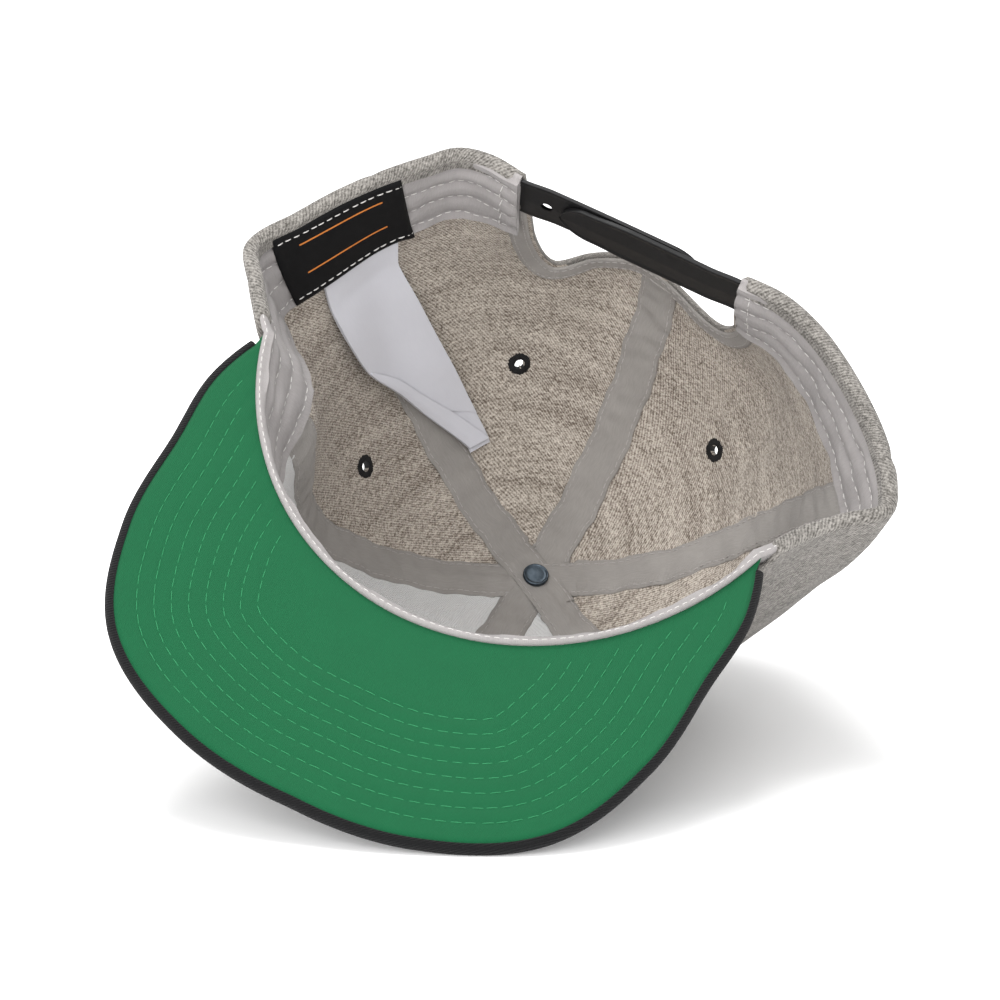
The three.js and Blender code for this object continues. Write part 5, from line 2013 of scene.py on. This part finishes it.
@dataclass(frozen=True)
class Strap:
    """Two snap strap halves: the left one outside with holes, the right one inside with pegs."""

    width: float = 18.5
    thick: float = 1.2
    bow: float = 0.5
    shift: float = 0.8
    stop: float = 10.0
    tuck: float = 3.0
    lip: float = 0.35
    pitch: float = 8.0
    pegs: int = 6
    peg: float = 1.5
    hole: float = 1.8
    clearance: float = 2.0
    smooth_below: float = 40.0
    narrowing: float = 0.12
    thin_lip: float = 0.35

    def edge_point(self, edge: Curve, height: float) -> Array:
        """Point of a side edge of the opening at a height above its foot.

        Args:
            edge: the edge's angle at each share.
            height: millimetres above its foot.

        Returns:
            The point.
        """
        foot = wall(edge(0.0), 0.0, CAP.cloth)[2]
        low, high = 0.0, 0.4
        for _ in range(24):
            middle = (low + high) / 2
            below = wall(edge(middle), middle, CAP.cloth)[2] < foot + height
            low, high = (middle, high) if below else (low, middle)
        return wall(edge(low), low, CAP.cloth)

    def ends(self, across: Array) -> tuple[Array, Array]:
        """Points on the two sides of the opening at places across the strap, from -1 to 1.

        Args:
            across: places across the strap.

        Returns:
            The points on the left and on the right.
        """
        sides = []
        for edge in (ARCH_LEFT, ARCH_RIGHT):
            rows = np.stack([self.edge_point(edge, self.width * share) for share in (0.0, 0.5, 1.0)])
            sides.append(np.stack([np.interp(across, [-1, 0, 1], rows[:, k]) for k in range(3)], -1))
        return sides[0], sides[1]

    def surface(self, share: Array, across: Array, offset: Array) -> Array:
        """Point of the strap, from the left side of the opening at 0 to the right side at 1.

        Args:
            share, across: place on the strap.
            offset: millimetres outward.

        Returns:
            The points.
        """
        left, right = self.ends(np.broadcast_to(across, np.broadcast(share, across).shape))
        point = mix(left, right, np.asarray(share)[..., None])
        point[..., 1] -= self.bow * 4 * share * (1 - share) + offset
        return point

    def span(self) -> float:
        """Distance between the two sides of the opening along the strap."""
        ends = self.surface(np.array([0.0, 1.0]), np.array([0.0, 0.0]), np.zeros(2))
        return float(np.linalg.norm(ends[1] - ends[0]))

    def half(self, side: Side, layer: float, finish: Finishes) -> Object:
        """Makes one half, from under the sweatband to its round tip.

        Args:
            side: where it is sewn in.
            layer: how far it stands outside the middle surface.
            finish: the materials.

        Returns:
            The half as an object.
        """
        span = self.span()
        nose = self.width / 2
        end = span - self.stop - self.clearance
        runs = np.concatenate([np.linspace(-self.tuck, end - nose, 70),
                               end - nose + nose * np.sin(np.linspace(0.05, np.pi / 2 - 0.02, 26))])
        past = np.clip((runs - end + nose) / nose, 0, 1)
        on_right = side is Side.RIGHT
        tall = (1 - past ** 2) ** 0.6 if on_right else np.sqrt(1 - past ** 2)
        narrow = 1 - self.narrowing * smooth((runs - end + 2.6 * nose) / (1.6 * nose)) if on_right else 1.0
        across = np.concatenate([[-1.0, -0.985], np.linspace(-0.95, 0.95, 27), [0.985, 1.0]])
        rim = smooth((np.abs(across) - 0.78) / 0.1)
        height = self.lip * rim[None, :] * (1.0 if on_right else self.thin_lip)
        corner = np.where(np.abs(across) > 0.99, 0.3, np.where(np.abs(across) > 0.98, 0.08, 0.0))
        share = (1 - runs / span if on_right else runs / span)[:, None]
        settle = smooth(runs / self.stop)[:, None]
        spot = across[None, :] * (tall * narrow)[:, None]
        base = layer * settle - 0.8 * (1 - settle)
        outer = self.surface(share, spot, base + self.thick / 2 - corner[None, :])
        inner = self.surface(share, spot, base - self.thick / 2 - height + corner[None, :])
        weave = pairs(runs[:, None], across[None, :] * nose)
        cutting = Cutting()
        cutting.shell(outer, inner, weave, weave)
        if on_right:
            self.add_pegs(cutting, layer)
        name = side.name.lower()
        return cutting.make(f"strap_{name}_moulding", finish.plastic, Slot.PLASTIC, [f"strap_{name}"])

    def peg_points(self, first: int) -> Array:
        """Middles of the pegs or holes on the middle surface."""
        places = (np.arange(first, self.pegs) - (self.pegs - 1) / 2) * self.pitch / self.span() + 0.5
        return self.surface(places, np.zeros(len(places)), np.zeros(len(places)))

    def add_turned(self, cutting: Cutting, point: Array, reach: Array, depth: Array, turn: Array) -> None:
        """Adds a turned shape that stands on the strap at a point.

        Args:
            cutting: takes the shape.
            point: where its axis meets the strap.
            reach, depth: its outline.
            turn: angles round its axis.
        """
        x, z = reach[None, :] * np.cos(turn), reach[None, :] * np.sin(turn)
        loops = np.stack([x, np.broadcast_to(depth, x.shape), z], -1) + point
        cutting.sweep(loops, loops[..., ::2], closed=True)

    def add_pegs(self, cutting: Cutting, layer: float) -> None:
        """Adds the mushroom-headed pegs on the outer face of the right half.

        Args:
            cutting: takes the pegs.
            layer: how far out the half lies.
        """
        profile = np.array([[0.05, 0.0], [self.peg, 0.0], [self.peg, 2.2], [self.peg + 0.25, 2.5],
                            [self.peg + 0.2, 2.9], [self.peg * 0.7, 3.25], [0.05, 3.3]])
        turn = circle(24)[:, None]
        for point in self.peg_points(0):
            self.add_turned(cutting, point, profile[:, 0], -profile[:, 1] - layer, turn)

    def punch(self, half: Object) -> None:
        """Cuts the round holes of the left half.

        Args:
            half: the half to cut.
        """
        turn = circle(32)[:, None]
        tool = Cutting()
        for point in self.peg_points(-1):
            reach = np.array([0.01, self.hole, self.hole, 0.01])
            depth = np.array([-6.0, -6.0, 6.0, 6.0])
            self.add_turned(tool, point, reach, depth, turn)
        mesh = tool.mesh("punch")
        cutter = add_object("punch", mesh)
        modifier = half.modifiers.new("holes", "BOOLEAN")
        modifier.operation, modifier.object, modifier.solver = "DIFFERENCE", cutter, "EXACT"
        bpy.context.view_layer.update()
        cut = bpy.data.meshes.new_from_object(half.evaluated_get(bpy.context.evaluated_depsgraph_get()))
        half.modifiers.clear()
        old, half.data = half.data, cut
        cut.set_sharp_from_angle(angle=np.radians(self.smooth_below))
        bpy.data.meshes.remove(old)
        bpy.data.objects.remove(cutter)
        bpy.data.meshes.remove(mesh)

    def build(self, finish: Finishes) -> None:
        """Makes both halves.

        Args:
            finish: the materials.
        """
        layer = (self.thick + 0.3) / 2
        left = self.half(Side.LEFT, layer - self.shift, finish)
        self.punch(left)
        self.half(Side.RIGHT, -layer - self.shift, finish)


@dataclass(frozen=True)
class Button:
    """Covered button on top of the crown and the metal rivet that holds it inside."""

    radius: float = 7.2
    height: float = 4.6
    rivet_radius: float = 4.1
    rivet_height: float = 1.5
    rivet_foot: float = 4.75
    pleats: int = 12
    pleat_deep: float = 0.16

    def apex(self) -> Array:
        """Top of the crown's outer face."""
        return np.array([0.0, -CAP.apex_back, CAP.height + CAP.cloth])

    def pleat(self, turn: Array, rise: Array) -> Array:
        """Change of radius where the cover is gathered near its foot."""
        return self.pleat_deep * np.sin(turn * self.pleats) * bell(rise - 0.3, 0.9)

    def turned(self, profile: Array, sides: int,
               ruffle: Callable[[Array, Array], Array] | None = None) -> tuple[Array, Array]:
        """Loops of a turned shape about the apex.

        Args:
            profile: radius and height pairs.
            sides: points round it.
            ruffle: change of radius from the turn and the profile's height.

        Returns:
            The loops and their weave.
        """
        turn = circle(sides)[:, None]
        radius = profile[None, :, 0] + (0 if ruffle is None else ruffle(turn, profile[None, :, 1]))
        x, y = radius * np.cos(turn), radius * np.sin(turn)
        z = np.broadcast_to(profile[:, 1], x.shape)
        return self.apex() + np.stack([x, y, z], -1), np.stack([x, y, np.zeros_like(x)], -1)

    def build(self, finish: Finishes) -> None:
        """Makes the button and the rivet.

        Args:
            finish: the materials.
        """
        arc = np.linspace(0, np.pi / 2, 16)
        dome = np.stack([self.radius * np.cos(arc) ** 0.8, 0.9 + (self.height - 0.9) * np.sin(arc)], -1)
        dome[-1, 0] = 0.02
        foot = np.array([[0.02, -0.6], [self.radius * 0.8, -0.6], [self.radius * 0.93, 0.05],
                         [self.radius * 0.99, 0.5]])
        cutting = Cutting()
        cutting.sweep(*self.turned(np.concatenate([foot, dome]), 96, self.pleat), closed=True)
        cutting.make("button_cover", finish.twill, Slot.TWILL, ["button"])
        r, h, low = self.rivet_radius, self.rivet_height, -self.rivet_foot
        face = np.array([[0.02, 0.9], [0.5, 0.9], [r * 0.6, 0.87], [r * 0.76, 0.8], [r * 0.84, 0.92],
                         [r * 0.9, 1.0], [r * 0.96, 0.93], [r, 0.72], [r, 0.3], [r * 0.97, 0.0], [0.02, 0.0]])
        face[:, 1] = low - face[:, 1] * h
        metal = Cutting()
        metal.sweep(*self.turned(face, 64), closed=True)
        metal.make("rivet_cap", finish.metal, Slot.METAL, ["button_rivet"])


class Softbox(NamedTuple):
    """Soft square lamp: its place and side in metres and its strength in watts."""

    name: str
    place: tuple[float, float, float]
    side: float
    power: float


@dataclass(frozen=True)
class Studio:
    """Camera at the photograph's angle, pale floor and soft lights."""

    focal_px: float = 3720.5
    frame_px: float = 1000.0
    sensor: float = 36.0
    turn: tuple[float, float, float] = (-0.645758, 0.049505, 0.470166)
    shift: tuple[float, float, float] = (15.4352, -34.5323, 1072.525)
    lamps: tuple[Softbox, ...] = (
        Softbox("front_softbox", (0.12, -1.98, 0.78), 1.6, 35.0),
        Softbox("top_softbox", (-0.28, -0.05, 1.6), 0.8, 18.0),
    )
    aim: tuple[float, float, float] = (0.0, 0.0, 0.06)
    floor_half: float = 9.0
    # Painted light: the floor's glow rises between these two radii in metres from the cap, fading out the
    # cap's cast shadow.
    painted_glow_from: float = 0.095
    painted_glow_to: float = 0.29
    painted_glow: float = 0.6

    def camera(self) -> None:
        """Makes the camera from its turn and shift in the cap's frame."""
        vector = Vector(self.turn)
        sight = np.array(Matrix.Rotation(vector.length, 3, vector.normalized()))
        eye = REST.place(-sight.T @ np.array(self.shift))
        axes = REST.turn @ sight.T @ np.diag([1.0, -1.0, -1.0])
        data = bpy.data.cameras.new("camera")
        data.sensor_width = self.sensor
        data.lens = self.focal_px / self.frame_px * self.sensor
        data.clip_start, data.clip_end = 0.05, 60.0
        camera = add_object("camera", data)
        camera.matrix_world = Matrix.Translation(Vector(eye)) @ Matrix(axes.tolist()).to_4x4()
        bpy.context.scene.camera = camera

    def floor(self) -> None:
        """Makes the pale floor, which glows more and more away from the cap: painted light that fades out the
        cap's cast shadow and whitens the far floor.
        """
        half = self.floor_half
        mesh = bpy.data.meshes.new("floor")
        corners = [(-half, -half, 0), (half, -half, 0), (half, half, 0), (-half, half, 0)]
        mesh.from_pydata(corners, [], [(0, 1, 2, 3)])
        floor = add_object("floor", mesh)
        g = Graph("pale_floor")
        place = g.node("TexCoord").outputs["Object"]
        cloud = g.noise(place, 0.8, 2.0)
        # Painted light: emission grows with distance from the cap and washes out its shadow.
        out = g.node("VectorMath", {0: place}, operation="LENGTH").outputs["Value"]
        far = g.spread(out, self.painted_glow_from, self.painted_glow_to)
        g.feed(g.shader, {"Base Color": g.blend(cloud, (0.91, 0.91, 0.91, 1), (0.94, 0.94, 0.94, 1)),
                          "Roughness": 0.9, "Specular IOR Level": 0.1,
                          "Emission Color": (1.0, 1.0, 1.0, 1.0),
                          "Emission Strength": g.math("MULTIPLY", far, self.painted_glow)})
        mesh.materials.append(g.material)

    def hang(self, box: Softbox) -> None:
        """Makes one lamp, turned to the cap.

        Args:
            box: the lamp to make.
        """
        data = bpy.data.lights.new(box.name, "AREA")
        data.shape, data.size, data.energy = "SQUARE", box.side, box.power
        lamp = add_object(box.name, data)
        lamp.location = box.place
        lamp.rotation_mode = "QUATERNION"
        lamp.rotation_quaternion = (Vector(self.aim) - Vector(box.place)).to_track_quat("-Z", "Y")

    def build(self) -> None:
        """Makes the camera, floor and lights."""
        self.camera()
        self.floor()
        world = bpy.context.scene.world or bpy.data.worlds.new("world")
        bpy.context.scene.world = world
        world.use_nodes = True
        world.node_tree.nodes["Background"].inputs[0].default_value = (1.0, 1.0, 1.0, 1.0)
        world.node_tree.nodes["Background"].inputs[1].default_value = 1.0
        bpy.context.scene.view_settings.view_transform = "Standard"
        for box in self.lamps:
            self.hang(box)


def main() -> None:
    """Makes every piece in order and reports it."""
    logging.basicConfig(level=logging.INFO, format="%(message)s", stream=sys.stdout)
    Studio().build()
    finish = Finishes()
    parts = (Crown(), Eyelets(), Lining(), Tapes(), Sweatband(), ArchFacing(), Labels(), Peak(), Strap(),
             Button())
    for part in parts:
        part.build(finish)
        LOG.info("%s done", type(part).__name__)


if __name__ == "__main__":
    main()
